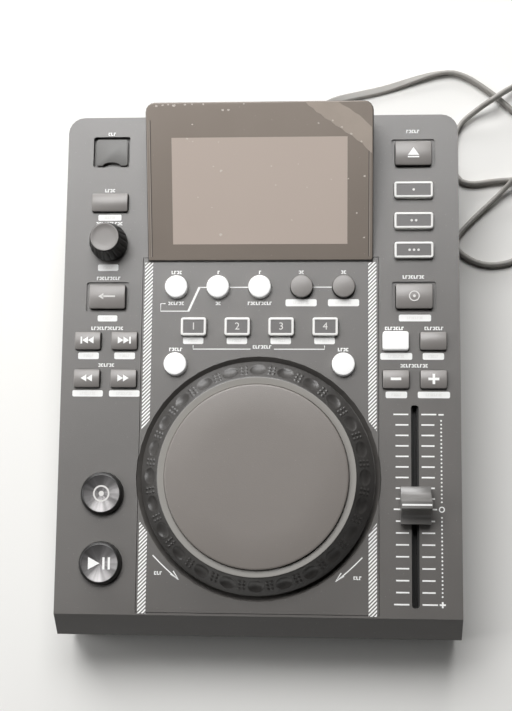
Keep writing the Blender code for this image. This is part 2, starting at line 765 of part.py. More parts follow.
# Jog wheel: a crowned ring with finger dimples, over a flanged bearing
crown_foot = JOG_SKIRT + JOG_SKIRT / 4
crown_run = JOG_RADIUS - JOG_SKIRT / 4 - JOG_CROWN_RADIUS
jog_profile = [
    (0, JOG_TOP - JOG_PLATE - GAP),
    (JOG_PLATE_RADIUS + GAP, JOG_TOP - JOG_PLATE - GAP),
    (JOG_PLATE_RADIUS + GAP, JOG_TOP - GAP),
    (JOG_CROWN_RADIUS, JOG_CROWN_HEIGHT),
    (JOG_RADIUS - JOG_SKIRT / 4, crown_foot),
    (JOG_RADIUS, JOG_SKIRT),
    (JOG_RADIUS, -DISH_DEPTH + JOG_WALL / 3),
    (JOG_RADIUS - JOG_WALL, -DISH_DEPTH + JOG_WALL / 3),
    (JOG_RADIUS - JOG_WALL, JOG_SKIRT - JOG_WALL / 3),
    (JOG_CROWN_RADIUS - JOG_WALL / 2, JOG_CROWN_HEIGHT - JOG_WALL),
    (HUB_RADIUS, JOG_CROWN_HEIGHT - JOG_WALL),
    (HUB_RADIUS, -PLATE + 2 * GAP),
    (SPINDLE_RADIUS + GAP, -PLATE + 2 * GAP),
    (SPINDLE_RADIUS + GAP, JOG_CROWN_HEIGHT - 2 * JOG_WALL),
    (0, JOG_CROWN_HEIGHT - 2 * JOG_WALL),
]
jog_platter = piece("jog_platter", lathed(jog_profile, JOG_SIDES), BLACK_PLASTIC, deck, (0, JOG_V, 0))
crown_slope = math.atan2(JOG_CROWN_HEIGHT - crown_foot, crown_run)
ball_radius = (DIMPLE_RADIUS ** 2 + DIMPLE_DEPTH ** 2) / (2 * DIMPLE_DEPTH)
ball_lift = ball_radius - DIMPLE_DEPTH
ball_reach = JOG_CROWN_RADIUS + crown_run / 2 + ball_lift * math.sin(crown_slope)
ball_height = (JOG_CROWN_HEIGHT + crown_foot) / 2 + ball_lift * math.cos(crown_slope)
balls = []
for i in range(DIMPLES):
    ball = bmesh.new()
    bmesh.ops.create_uvsphere(ball, u_segments=12, v_segments=10, radius=ball_radius)
    turned_to(ball, facing((math.sin(crown_slope), 0, math.cos(crown_slope))))
    moved(ball, ball_reach, 0, ball_height)
    around = Matrix.Rotation(2 * math.pi * (i + 0.5) / DIMPLES, 4, "Z")
    balls.append(moved(turned_to(ball, around), 0, JOG_V))
for odd in (0, 1):
    cut(jog_platter, together(*balls[odd::2]), parent=deck)

touch = rod(JOG_PLATE_RADIUS, JOG_PLATE / 2, JOG_TOP - JOG_PLATE, JOG_SIDES)
raised(touch, JOG_PLATE / 2 - EDGE_ROUND / 2)
narrowed(touch, EDGE_ROUND, EDGE_ROUND / 2)
piece("jog_touch_plate", touch, KEY_PLASTIC, deck, (0, JOG_V, 0))

bearing_top = -PLATE + GAP
bearing_low = bearing_top - BEARING_LENGTH
flange_top = -DISH_DEPTH - PLATE - GAP
piece(
    "jog_bearing",
    lathed([
        (SPINDLE_RADIUS + GAP, bearing_top),
        (BEARING_RADIUS, bearing_top),
        (BEARING_RADIUS, flange_top),
        (BEARING_FLANGE, flange_top),
        (BEARING_FLANGE, flange_top - BEARING_FLANGE_THICK),
        (BEARING_RADIUS, flange_top - BEARING_FLANGE_THICK),
        (BEARING_RADIUS, bearing_low),
        (SPINDLE_RADIUS + GAP, bearing_low),
    ]),
    METAL, deck, (0, JOG_V, 0),
)
collar_top = bearing_low - GAP
spindle_top = JOG_CROWN_HEIGHT - 2 * JOG_WALL - GAP
piece(
    "jog_spindle",
    lathed([
        (0, spindle_top),
        (SPINDLE_RADIUS, spindle_top),
        (SPINDLE_RADIUS, collar_top),
        (COLLAR_RADIUS, collar_top),
        (COLLAR_RADIUS, collar_top - COLLAR_THICK),
        (0, collar_top - COLLAR_THICK),
    ]),
    METAL, deck, (0, JOG_V, 0),
)

# Control board, with a switch block under each key and one under the knob
board_half = BODY_WIDTH / 2 - BOARD_MARGIN
board_notch = DISPLAY_OPENING_HALF + BOARD_MARGIN
board_waist = SCREEN_V - USB_POCKET_WALL
board = extruded([
    (-board_half, BOARD_FRONT),
    (board_half, BOARD_FRONT),
    (board_half, PANEL_LENGTH - BOARD_BACK_RIGHT),
    (board_notch, PANEL_LENGTH - BOARD_BACK_RIGHT),
    (board_notch, board_waist),
    (-board_notch, board_waist),
    (-board_notch, PANEL_LENGTH - BOARD_BACK_LEFT),
    (-board_half, PANEL_LENGTH - BOARD_BACK_LEFT),
], BOARD, -BOARD_DROP - BOARD)
control_board = piece("control_board", board, CIRCUIT_BOARD, deck)
switch_top = -WALL - 2 * GAP - KEY_FLANGE - KEY_TRAVEL
switch_height = switch_top + BOARD_DROP + BOARD / 2
switches = [
    moved(box((SWITCH_SIZE, SWITCH_SIZE, switch_height), -BOARD_DROP - BOARD / 2), x, v)
    for _, _, x, v, _ in COLUMN_KEYS + CENTRE_KEYS
]
switches.append(
    moved(box((ENCODER_SIZE, ENCODER_SIZE, switch_height), -BOARD_DROP - BOARD / 2), -COLUMN_X, row("knob"))
)
joined(control_board, together(*switches), parent=deck)
cut(
    control_board,
    moved(rod(BOARD_HOLE, 4 * BOARD, -BOARD_DROP - 2 * BOARD, ROUND_SIDES), 0, JOG_V),
    parent=deck,
)

# Pitch fader: a slotted body on the board, a lever in its groove and a ridged cap
body_top = -WALL - GAP
body_height = BOARD_DROP - GAP + body_top
fader_body = piece(
    "fader_body", box((*FADER_BODY, body_height), GAP - BOARD_DROP),
    BLACK_PLASTIC, deck, (COLUMN_X, fader_v, 0),
)
groove_length = FADER_TRAVEL + LEVER[1] + 4 * GAP
groove_low = body_top - body_height * GROOVE_DEPTH_SHARE
cut(
    fader_body,
    moved(box((FADER_GROOVE, groove_length, body_height), groove_low), COLUMN_X, fader_v),
    parent=deck,
)
lever_low = groove_low + GAP
cap_low = FADER_FLOAT
lever_top = cap_low + FADER_CAP_RISE * LEVER_HEAD_SHARE
piece(
    "fader_lever",
    box((LEVER[0], LEVER[1], lever_top - lever_low), lever_low), METAL, deck, (COLUMN_X, fader_v, 0),
)
cap_width, cap_depth = FADER_CAP
cap_outline = [(-cap_depth / 2, cap_low)]
cap_outline += [
    (-cap_depth * across, FADER_CAP_RISE * up) for across, up in CAP_SLOPE_SHARES
]
cap_outline.append((-FADER_RIDGE / 2, FADER_CAP_RISE))
cap_outline += [(-y, z) for y, z in reversed(cap_outline)]
fader_cap = piece(
    "fader_cap",
    turned_to(extruded(cap_outline, cap_width, -cap_width / 2), SIDEWAYS),
    BLACK_PLASTIC, deck, (COLUMN_X, fader_v, 0),
)
lever_pocket = box((LEVER[0] + 2 * GAP, LEVER[1] + 2 * GAP, lever_top + GAP), 0)
cut(fader_cap, moved(lever_pocket, COLUMN_X, fader_v), parent=deck)

# Select knob: a stem held under the panel by its flange, and a fluted knob on it
stem_low = switch_top + GAP + KNOB_PUSH
flange_high = -WALL - GAP
piece(
    "encoder_stem",
    lathed([
        (0, STEM_TOP),
        (STEM_RADIUS, STEM_TOP),
        (STEM_RADIUS, flange_high),
        (STEM_FLANGE, flange_high),
        (STEM_FLANGE, flange_high - STEM_FLANGE_THICK),
        (STEM_RADIUS, flange_high - STEM_FLANGE_THICK),
        (STEM_RADIUS, stem_low),
        (0, stem_low),
    ], SMALL_SIDES),
    METAL, deck, (-COLUMN_X, row("knob"), 0),
)
knob_step = 2 * math.pi / KNOB_FLUTES
knob_outline = []
for i in range(KNOB_FLUTES):
    for turn, reach in KNOB_FLUTE_SHARES:
        angle = (i + turn) * knob_step
        knob_outline.append((KNOB_RADIUS * reach * math.cos(angle), KNOB_RADIUS * reach * math.sin(angle)))
knob_skirt = (KNOB_TOP - KNOB_FLOAT) * KNOB_SKIRT_SHARE
knob = extruded(knob_outline, knob_skirt, KNOB_FLOAT)
tapered(knob, KNOB_TOP - EDGE_ROUND - KNOB_FLOAT - knob_skirt, KNOB_TOP_RADIUS / KNOB_RADIUS)
tapered(knob, EDGE_ROUND, 1 - EDGE_ROUND / KNOB_TOP_RADIUS)
encoder_knob = piece("encoder_knob", knob, BLACK_PLASTIC, deck, (-COLUMN_X, row("knob"), 0))
knob_bore = rod(STEM_RADIUS + GAP, STEM_TOP + GAP, 0, SMALL_SIDES)
cut(encoder_knob, moved(knob_bore, -COLUMN_X, row("knob")), parent=deck)

# Display: housing, lens and module
slant_run = SLANT * math.cos(SCREEN_TILT)
slant_rise = SLANT * math.sin(SCREEN_TILT)
housing = turned_to(
    extruded([
        (SCREEN_V, GAP),
        (SCREEN_V, SCREEN_LIP),
        (SCREEN_V + slant_run, SCREEN_LIP + slant_rise),
        (SCREEN_V + slant_run, GAP),
    ], SCREEN_WIDTH, -SCREEN_WIDTH / 2),
    SIDEWAYS,
)
rounded_edges(housing, upright_at_back(SCREEN_V + slant_run), SCREEN_CORNER, 4)
screen_housing = piece("screen_housing", housing, TRIM_PLASTIC, deck)
face_depth = (LENS + LENS_SINK + GAP + LENS_SEAT) / math.cos(SCREEN_TILT)


def under_face(run):
    return SCREEN_LIP + run * math.tan(SCREEN_TILT) - face_depth


housing_back = slant_run - SCREEN_WALL
inner_screen = SCREEN_WIDTH - 2 * SCREEN_WALL
screen_hollow = turned_to(
    extruded([
        (SCREEN_V + HOUSING_TOE, -OVERRUN),
        (SCREEN_V + HOUSING_TOE, under_face(HOUSING_TOE)),
        (SCREEN_V + housing_back, under_face(housing_back)),
        (SCREEN_V + housing_back, -OVERRUN),
    ], inner_screen, -inner_screen / 2),
    SIDEWAYS,
)
rounded_edges(screen_hollow, upright_at_back(SCREEN_V + housing_back), SCREEN_CORNER - SCREEN_WALL, 4)
cut(screen_housing, screen_hollow, parent=deck)
lens_width = SCREEN_WIDTH - 2 * LENS_MARGIN
lens_length = SLANT - LENS_FOOT - SCREEN_RIM
lens_middle = LENS_FOOT + lens_length / 2
window_middle = WINDOW_START + WINDOW[1] / 2
pocket = box(
    (lens_width + 2 * GAP, lens_length + 2 * GAP, LENS + LENS_SINK + GAP + OVERRUN),
    -LENS - LENS_SINK - GAP, SCREEN_CORNER - SCREEN_WALL,
)
sight = box((WINDOW[0] + LENS_SEAT, WINDOW[1] + LENS_SEAT, 4 * SCREEN_WALL + OVERRUN), -4 * SCREEN_WALL)
cut(
    screen_housing,
    moved(pocket, 0, lens_middle),
    moved(sight, 0, window_middle),
    parent=screen_frame,
)
lens = box((lens_width, lens_length, LENS - GAP), -LENS - LENS_SINK, SCREEN_CORNER - SCREEN_WALL)
narrowed(lens, GAP, GAP)
piece("screen_lens", lens, GLOSS_LENS, screen_frame, (0, lens_middle, 0))
module_top = -LENS - LENS_SINK - 2 * GAP - LENS_SEAT
piece(
    "display_module", box(MODULE, module_top - MODULE[2], EDGE_ROUND), BLACK_PLASTIC, screen_frame,
    (0, window_middle, 0),
)

# Memory-stick socket, held by its flange under the pocket's floor, and the hinged flap over it
usb_v = row("usb")
usb_top = -USB_POCKET_DEPTH
usb_flange_top = -USB_POCKET_DEPTH - USB_POCKET_WALL - GAP
usb_socket = piece(
    "usb_socket",
    together(box((*USB_SHELL, USB_LENGTH), usb_top - USB_LENGTH)),
    METAL, deck, (-COLUMN_X, usb_v, 0),
)
joined(
    usb_socket,
    moved(
        box(
            (USB_SHELL[0] + 2 * USB_FLANGE, USB_SHELL[1] + 2 * USB_FLANGE, USB_FLANGE),
            usb_flange_top - USB_FLANGE,
        ),
        -COLUMN_X, usb_v,
    ),
    parent=deck,
)
cut(
    usb_socket,
    moved(box((*USB_INNER, USB_LENGTH), usb_top - USB_LENGTH + USB_FLANGE), -COLUMN_X, usb_v),
    parent=deck,
)
flap_width = USB_POCKET[0] - 2 * FLAP_MARGIN
flap_back = USB_POCKET[1] / 2 - FLAP_MARGIN / 2
flap_length = USB_POCKET[1] / 2 - FLAP_MARGIN + flap_back
hinge_lift = -FLAP_SINK - FLAP / 2
hinge_v = usb_v + flap_back - FLAP / 2
flap_plate = box((flap_width, flap_length - FLAP / 2, FLAP), -FLAP / 2, 0)
front_edges = upright_at_back(-(flap_length - FLAP / 2) / 2)
rounded_edges(flap_plate, front_edges, KEY_CORNER, 3)
moved(flap_plate, 0, -(flap_length - FLAP / 2) / 2)
usb_flap = piece("usb_flap", flap_plate, TRIM_PLASTIC, deck, (-COLUMN_X, hinge_v, hinge_lift))
barrel = turned_to(rod(FLAP / 2, flap_width, -flap_width / 2, SMALL_SIDES), TO_RIGHT)
pin_length = flap_width + 2 * HINGE_PIN_REACH
pin = turned_to(rod(HINGE_PIN, pin_length, -pin_length / 2, SMALL_SIDES), TO_RIGHT)
joined(
    usb_flap,
    moved(barrel, -COLUMN_X, hinge_v, hinge_lift),
    moved(pin, -COLUMN_X, hinge_v, hinge_lift),
    parent=deck,
)
cut(
    usb_flap,
    moved(rod(NOTCH_RADIUS, 2 * FLAP, -2 * FLAP), -COLUMN_X, hinge_v - flap_length + FLAP / 2),
    parent=deck,
)
pin_hole_length = flap_width + 2 * HINGE_PIN_REACH + 2 * GAP
pin_hole = turned_to(rod(HINGE_BORE, pin_hole_length, -pin_hole_length / 2, SMALL_SIDES), TO_RIGHT)
cut(top_cover, moved(pin_hole, -COLUMN_X, hinge_v, hinge_lift), parent=deck)

# Bottom tray with bosses, and four rubber feet
tray_rim = SEAM_HEIGHT - GAP
tray_box = box((BODY_WIDTH, BODY_DEPTH, tray_rim - TRAY_HEIGHT), TRAY_HEIGHT)
tray_y = (FRONT_Y + REAR_Y) / 2
rounded_edges(moved(tray_box, 0, tray_y), upright_at_back(REAR_Y), CORNER_RADIUS, 5)
bottom_tray = piece("bottom_tray", tray_box, TRAY_PLASTIC)
tray_hollow = box(
    (BODY_WIDTH - 2 * TRAY_WALL, BODY_DEPTH - 2 * TRAY_WALL, tray_rim), TRAY_HEIGHT + TRAY_WALL
)
rounded_edges(moved(tray_hollow, 0, tray_y), upright_at_back(REAR_Y - TRAY_WALL), CORNER_RADIUS - TRAY_WALL, 5)
cut(bottom_tray, tray_hollow)
chassis_middle = FRONT_Y + WALL + CHASSIS_INSET + CHASSIS[1] / 2
boss_x = CHASSIS[0] / 2 - 2 * BOSS_RADIUS
boss_y = CHASSIS[1] / 2 - 2 * BOSS_RADIUS
boss_base = TRAY_HEIGHT + TRAY_WALL / 2
boss_height = CHASSIS_BASE - GAP - boss_base
bosses = [
    moved(rod(BOSS_RADIUS, boss_height, boss_base, SMALL_SIDES), sx * boss_x, chassis_middle + sy * boss_y)
    for sx in (-1, 1)
    for sy in (-1, 1)
]
joined(
    bottom_tray,
    corner_posts(boss_base, tray_rim, tray_rim, COVER_POST_RADIUS),
    together(*bosses),
)
FEET = {
    "foot_front_left": (-1, -1),
    "foot_front_right": (1, -1),
    "foot_rear_left": (-1, 1),
    "foot_rear_right": (1, 1),
}
foot_x = BODY_WIDTH / 2 - FOOT_INSET
foot_y = BODY_DEPTH / 2 - FOOT_INSET
for name, (sx, sy) in FEET.items():
    foot = rod(FOOT_RADIUS - EDGE_ROUND, TRAY_HEIGHT - GAP, 0, ROUND_SIDES, FOOT_RADIUS)
    piece(name, foot, RUBBER, None, (sx * foot_x, tray_y + sy * foot_y, 0))

# Disc drive chassis: a folded sheet tray with roller brackets, sled rails and the turntable motor
drive_chassis = piece(
    "drive_chassis", moved(box((*CHASSIS, CHASSIS_HEIGHT), CHASSIS_BASE), 0, chassis_middle), SHEET_METAL
)
floor_top = CHASSIS_BASE + SHEET
chassis_hollow = box((CHASSIS[0] - 2 * SHEET, CHASSIS[1] + 2 * OVERRUN, CHASSIS_HEIGHT), floor_top)
cut(drive_chassis, moved(chassis_hollow, 0, chassis_middle - OVERRUN - SHEET))
turntable_y = FRONT_Y + TURNTABLE_SETBACK
roller_y = FRONT_Y + ROLLER_SETBACK
roller_z = ROLLER_TOP - ROLLER_RADIUS
bracket_x = CHASSIS[0] / 2 - SHEET - BRACKET / 2
bracket_size = (BRACKET + SHEET, 4 * ROLLER_RADIUS, roller_z + 2 * ROLLER_AXLE - CHASSIS_BASE)
brackets = [
    moved(box(bracket_size, CHASSIS_BASE + SHEET / 2), side * bracket_x, roller_y) for side in (-1, 1)
]
motor = moved(rod(MOTOR_RADIUS, MOTOR_HEIGHT + SHEET / 2, CHASSIS_BASE + SHEET / 2), 0, turntable_y)
rail_end = turntable_y + SLED_START + SLED_TRAVEL + SLED_SIZE[1]
rail_start = turntable_y + MOTOR_RADIUS + GAP
rail_z = floor_top + MOTOR_HEIGHT
rail_length = rail_end - rail_start
rails = [
    moved(
        box((2 * RAIL_RADIUS, rail_length, rail_z - floor_top + SHEET / 2), floor_top - SHEET / 2),
        side * RAIL_SPREAD / 2, (rail_start + rail_end) / 2,
    )
    for side in (-1, 1)
]
joined(drive_chassis, together(*brackets, motor, *rails))
axle_length = CHASSIS[0] - 2 * SHEET - BRACKET
axle_hole = turned_to(
    rod(ROLLER_AXLE + GAP, axle_length + 2 * GAP, -axle_length / 2 - GAP, SMALL_SIDES), TO_RIGHT
)
shaft_hole = rod(ROLLER_AXLE + GAP, MOTOR_HEIGHT, floor_top + GAP, SMALL_SIDES)
cut(drive_chassis, together(moved(axle_hole, 0, roller_y, roller_z), moved(shaft_hole, 0, turntable_y)))

feed_roller = piece(
    "feed_roller",
    turned_to(lathed([
        (0, axle_length / 2),
        (ROLLER_AXLE, axle_length / 2),
        (ROLLER_AXLE, DISC_RADIUS + SHEET),
        (ROLLER_RADIUS, DISC_RADIUS),
        (ROLLER_RADIUS * ROLLER_WAIST_SHARE, 0),
        (ROLLER_RADIUS, -DISC_RADIUS),
        (ROLLER_AXLE, -DISC_RADIUS - SHEET),
        (ROLLER_AXLE, -axle_length / 2),
        (0, -axle_length / 2),
    ], SMALL_SIDES), TO_RIGHT),
    RUBBER, None, (0, roller_y, roller_z),
)
drive_turntable = piece(
    "drive_turntable",
    lathed([
        (0, TURNTABLE_TOP),
        (DISC_HUB[0], TURNTABLE_TOP),
        (DISC_HUB[1], TURNTABLE_TOP - TURNTABLE_DISC / 2),
        (TURNTABLE_RADIUS, TURNTABLE_TOP - TURNTABLE_DISC / 2),
        (TURNTABLE_RADIUS, TURNTABLE_TOP - TURNTABLE_DISC),
        (ROLLER_AXLE, TURNTABLE_TOP - TURNTABLE_DISC),
        (ROLLER_AXLE, floor_top + 2 * GAP),
        (0, floor_top + 2 * GAP),
    ]),
    METAL, None, (0, turntable_y, 0),
)
sled_y = turntable_y + SLED_START + SLED_SIZE[1] / 2
pickup_sled = piece(
    "pickup_sled", box(SLED_SIZE, rail_z + GAP, SHEET), BLACK_PLASTIC, None, (0, sled_y, 0)
)
sled_top = rail_z + GAP + SLED_SIZE[2]
laser_lens = rod(LENS_RADIUS, LENS_RISE + SHEET, sled_top - SHEET, SMALL_SIDES)
joined(pickup_sled, moved(laser_lens, 0, sled_y - SLED_SIZE[1] / 4))

# Rear panel: a plate in the cover's rear wall, with its lip behind the wall
panel_width, panel_height = REAR_PANEL
rear_panel = piece(
    "rear_panel",
    moved(box((panel_width, WALL, panel_height), REAR_PANEL_BASE), 0, REAR_Y - WALL / 2), TRAY_PLASTIC,
)
lip_y = REAR_Y - WALL - GAP - REAR_LIP_THICK / 2
lip = box(
    (panel_width + 2 * REAR_LIP, REAR_LIP_THICK, panel_height + 2 * REAR_LIP), REAR_PANEL_BASE - REAR_LIP
)
lip_bridge = box(
    (panel_width - 2 * REAR_LIP, 2 * WALL, panel_height - 2 * REAR_LIP), REAR_PANEL_BASE + REAR_LIP
)
bridge_y = REAR_Y - WALL / 2 - WALL
joined(rear_panel, moved(lip_bridge, 0, bridge_y + WALL - REAR_LIP_THICK), moved(lip, 0, lip_y))


def at_rear(bm, x, height=SOCKET_HEIGHT, out=0):
    """Lays a shape's own Z along the outward normal of the rear panel, from its outer face."""
    return moved(turned_to(bm, TO_BACK), x, REAR_Y + out, height)


jack_places = [(JACK_X - JACK_SPREAD / 2), (JACK_X + JACK_SPREAD / 2)]
panel_depth = 2 * WALL + REAR_LIP_THICK
sockets = [
    at_rear(rod(JACK_SKIRT, JACK_SKIRT_THICK + WALL / 2, -WALL / 2, SMALL_SIDES), x) for x in jack_places
]
sockets.append(at_rear(rod(REMOTE_RADIUS, REMOTE_REACH + WALL / 2, -WALL / 2, SMALL_SIDES), REMOTE_X))
sockets.append(at_rear(
    box(
        (DATA_SOCKET[0] + 2 * DATA_WALL, DATA_SOCKET[1] + 2 * DATA_WALL, DATA_DEPTH + DATA_WALL),
        -DATA_DEPTH - DATA_WALL,
    ),
    DATA_X,
))
inlet_height = 2 * INLET_RADIUS + 2 * INLET_WALL
inlet_outer = box(
    (INLET_PITCH + inlet_height, inlet_height, INLET_DEPTH + INLET_WALL), -INLET_DEPTH - INLET_WALL
)
sockets.append(at_rear(inlet_outer, INLET_X))
joined(rear_panel, *sockets)
joined(rear_panel, *[
    at_rear(rod(JACK_RADIUS, JACK_REACH + WALL / 2, -WALL / 2, SMALL_SIDES), x) for x in jack_places
])
rocker_width, rocker_height = ROCKER
ear_x = rocker_width / 2 + GAP + ROCKER_FRAME / 2
ear_depth = panel_depth + ROCKER_RADIUS / 2
ears = [
    moved(
        box((ROCKER_FRAME, ear_depth, ROCKER_RADIUS), SOCKET_HEIGHT - ROCKER_RADIUS / 2),
        SWITCH_X + side * ear_x, REAR_Y - WALL / 2 - ear_depth / 2,
    )
    for side in (-1, 1)
]
joined(rear_panel, together(*ears))
jack_bores = [
    at_rear(rod(JACK_BORE, JACK_REACH, GAP, SMALL_SIDES), x) for x in jack_places
]
data_hole = at_rear(box((*DATA_SOCKET, DATA_DEPTH + OVERRUN), -DATA_DEPTH), DATA_X)
remote_hole = at_rear(rod(REMOTE_BORE, WALL + 2 * REMOTE_REACH, -WALL, SMALL_SIDES), REMOTE_X)


def inlet_shape(radius, height, base):
    """The rounded section that the inlet and the lead's nose share."""
    return box((INLET_PITCH + 2 * radius, 2 * radius, height), base, radius * NOSE_ROUND_SHARE, 4)


inlet_hole = inlet_shape(INLET_RADIUS, INLET_DEPTH + OVERRUN, -INLET_DEPTH)
rocker_hole = box((rocker_width + 2 * GAP, rocker_height + 2 * GAP, 3 * panel_depth), -2 * panel_depth)
rear_holes = [remote_hole, data_hole, at_rear(rocker_hole, SWITCH_X), at_rear(inlet_hole, INLET_X)]
cut(rear_panel, together(*jack_bores, *rear_holes))
rocker_y = REAR_Y - WALL
pin_reach = rocker_width / 2 + GAP + ROCKER_PIN_REACH
pin_bore = turned_to(rod(ROCKER_PIN + GAP, 2 * (pin_reach + GAP), -pin_reach - GAP, SMALL_SIDES), TO_RIGHT)
cut(rear_panel, moved(pin_bore, SWITCH_X, rocker_y, SOCKET_HEIGHT))
joined(rear_panel, at_rear(box((*DATA_TONGUE, DATA_DEPTH), -DATA_DEPTH - DATA_WALL / 2), DATA_X))

# Power rocker, turning on its pins between the ears
rocker_arc = [
    ROCKER_FACE + (2 * math.pi - 2 * ROCKER_FACE) * i / ROCKER_STEPS for i in range(ROCKER_STEPS + 1)
]
rocker_outline = [(ROCKER_RADIUS * math.cos(a), ROCKER_RADIUS * math.sin(a)) for a in rocker_arc]
rocker_outline.append((ROCKER_REACH / 2, 0))
rocker_turn = Matrix.Rotation(-ROCKER_THROW / 2, 4, "X")
rocker = turned_to(
    turned_to(extruded(rocker_outline, rocker_width, -rocker_width / 2), SIDEWAYS), rocker_turn
)
power_switch = piece("power_switch", rocker, BLACK_PLASTIC, None, (SWITCH_X, rocker_y, SOCKET_HEIGHT))
rocker_pin = turned_to(rod(ROCKER_PIN, 2 * pin_reach, -pin_reach, SMALL_SIDES), TO_RIGHT)
joined(power_switch, moved(rocker_pin, SWITCH_X, rocker_y, SOCKET_HEIGHT))

# Lead connector, pushed into the inlet, with the lead leaving it sideways through a tapered relief
nose_radius = INLET_RADIUS - GAP
nose_depth = INLET_DEPTH - 2 * GAP
grip_width = INLET_PITCH + 2 * nose_radius + 2 * CONNECTOR_GRIP
grip_height = 2 * nose_radius + 2 * CONNECTOR_GRIP
grip = box((grip_width, grip_height, CONNECTOR_REACH), GAP, nose_radius * GRIP_ROUND_SHARE, 3)
narrowed(grip, CONNECTOR_GRIP, CONNECTOR_GRIP)
lead_connector = piece("lead_connector", at_rear(grip, INLET_X), LEAD_GREY)
nose = inlet_shape(nose_radius, nose_depth + OVERRUN, -nose_depth)
relief_base = grip_width / 2 - OVERRUN / 2
relief_y = REAR_Y + GAP + CONNECTOR_REACH / 2
relief = turned_to(rod(RELIEF_RADIUS, RELIEF_LENGTH, relief_base, SMALL_SIDES, LEAD_RADIUS), TO_RIGHT)
joined(
    lead_connector,
    at_rear(nose, INLET_X),
    moved(relief, INLET_X, relief_y, SOCKET_HEIGHT),
)

# Mains lead, as points chosen along its way in the room: out of the relief and down to the table, out to the
# right and round a loose loop, in beside the body, out round a second loop, in again and out to the coil
LEAD_POINTS = [
    (0.0048, 0.1447, 0.0400),
    (0.0160, 0.1455, 0.0390),
    (0.0271, 0.1546, 0.0278),
    (0.0328, 0.1675, 0.0105),
    (0.0412, 0.1757, 0.0036),
    (0.0700, 0.1828, 0.0025),
    (0.1025, 0.1925, 0.0025),
    (0.1183, 0.1905, 0.0025),
    (0.1364, 0.1778, 0.0025),
    (0.1523, 0.1636, 0.0025),
    (0.1639, 0.1616, 0.0025),
    (0.1722, 0.1678, 0.0025),
    (0.1735, 0.1782, 0.0025),
    (0.1671, 0.1864, 0.0025),
    (0.1565, 0.1874, 0.0025),
    (0.1448, 0.1798, 0.0068),
    (0.1360, 0.1728, 0.0106),
    (0.1261, 0.1672, 0.0062),
    (0.1152, 0.1580, 0.0026),
    (0.1110, 0.1425, 0.0025),
    (0.1128, 0.1267, 0.0025),
    (0.1209, 0.1214, 0.0025),
    (0.1399, 0.1232, 0.0025),
    (0.1880, 0.1262, 0.0025),
    (0.2000, 0.1309, 0.0025),
    (0.2052, 0.1422, 0.0025),
    (0.2003, 0.1535, 0.0025),
    (0.1890, 0.1582, 0.0025),
    (0.1765, 0.1535, 0.0028),
    (0.1650, 0.1426, 0.0045),
    (0.1542, 0.1299, 0.0093),
    (0.1483, 0.1242, 0.0103),
    (0.1379, 0.1140, 0.0044),
    (0.1222, 0.0990, 0.0025),
    (0.1124, 0.0871, 0.0025),
    (0.1140, 0.0789, 0.0025),
    (0.1265, 0.0717, 0.0025),
    (0.1413, 0.0721, 0.0025),
    (0.1611, 0.0802, 0.0025),
    (0.1845, 0.0815, 0.0025),
]


def smooth_route(points, count):
    """Evenly spaced points on a smooth curve through the given ones."""
    path = [Vector(point) for point in points]
    path = [2 * path[0] - path[1], *path, 2 * path[-1] - path[-2]]
    fine = []
    for a, b, c, d in zip(path, path[1:], path[2:], path[3:]):
        for step in range(CURVE_STEPS):
            t = step / CURVE_STEPS
            square = (2 * a - 5 * b + 4 * c - d) * t ** 2
            cube = (3 * b - a - 3 * c + d) * t ** 3
            place = (2 * b + (c - a) * t + square + cube) / 2
            place.z = max(place.z, LEAD_RADIUS)
            fine.append(place)
    fine.append(path[-2])
    spans = [(q - p).length for p, q in zip(fine, fine[1:])]
    total = sum(spans)
    even, done, walked = [fine[0]], 0, 0.0
    for i in range(1, count - 1):
        target = total * i / (count - 1)
        while walked + spans[done] < target:
            walked += spans[done]
            done += 1
        even.append(fine[done].lerp(fine[done + 1], (target - walked) / spans[done]))
    return even + [fine[-1]], total


def tube(points, radius, resolution):
    """A cord's round body along its points."""
    curve = bpy.data.curves.new("cord", "CURVE")
    curve.dimensions = "3D"
    curve.bevel_depth = radius
    curve.bevel_resolution = resolution
    curve.use_fill_caps = True
    spline = curve.splines.new("POLY")
    spline.points.add(len(points) - 1)
    for point, place in zip(spline.points, points):
        point.co = (*place, 1)
    return from_object(bpy.data.objects.new("cord", curve))


lead_path, lead_length = smooth_route(LEAD_POINTS, LEAD_STEPS)
piece("lead", tube(lead_path, LEAD_RADIUS, 2), LEAD_GREY)

# Coil of the spare lead: one layer spirals in, the next one out on top of it, and the end runs to the plug
coil_pitch = 2 * LEAD_RADIUS + COIL_CLEARANCE
coil_outer = COIL_RADIUS + coil_pitch * COIL_LAYER_TURNS / 2
coil_x = LEAD_POINTS[-1][0] + GAP + 2 * LEAD_RADIUS
coil_y = LEAD_POINTS[-1][1] - coil_outer
coil_steps = COIL_LAYER_TURNS * COIL_POINTS
coil_path = [Vector((LEAD_POINTS[-1][0] + GAP, coil_y + coil_outer, LEAD_RADIUS))]
for i in range(2 * coil_steps + 1 + COIL_POINTS // 4):
    turn = i / COIL_POINTS
    inward = min(turn, 2 * COIL_LAYER_TURNS - turn)
    climb = min(max((turn - COIL_LAYER_TURNS) / COIL_CLIMB_SHARE + 0.5, 0), 1)
    angle = math.pi / 2 - 2 * math.pi * turn
    reach = coil_outer - coil_pitch * inward
    height = LEAD_RADIUS + coil_pitch * climb
    coil_path.append(Vector((coil_x + reach * math.cos(angle), coil_y + reach * math.sin(angle), height)))
plug_drop = coil_path[-1].z - PLUG[2] / 2
for drop_share in (0, 0.5, 0.5, 0):
    coil_path.append(coil_path[-1] - Vector((0, 2 * LEAD_RADIUS, plug_drop * drop_share)))
piece("lead_coil", tube(coil_path, LEAD_RADIUS, 1), LEAD_GREY)


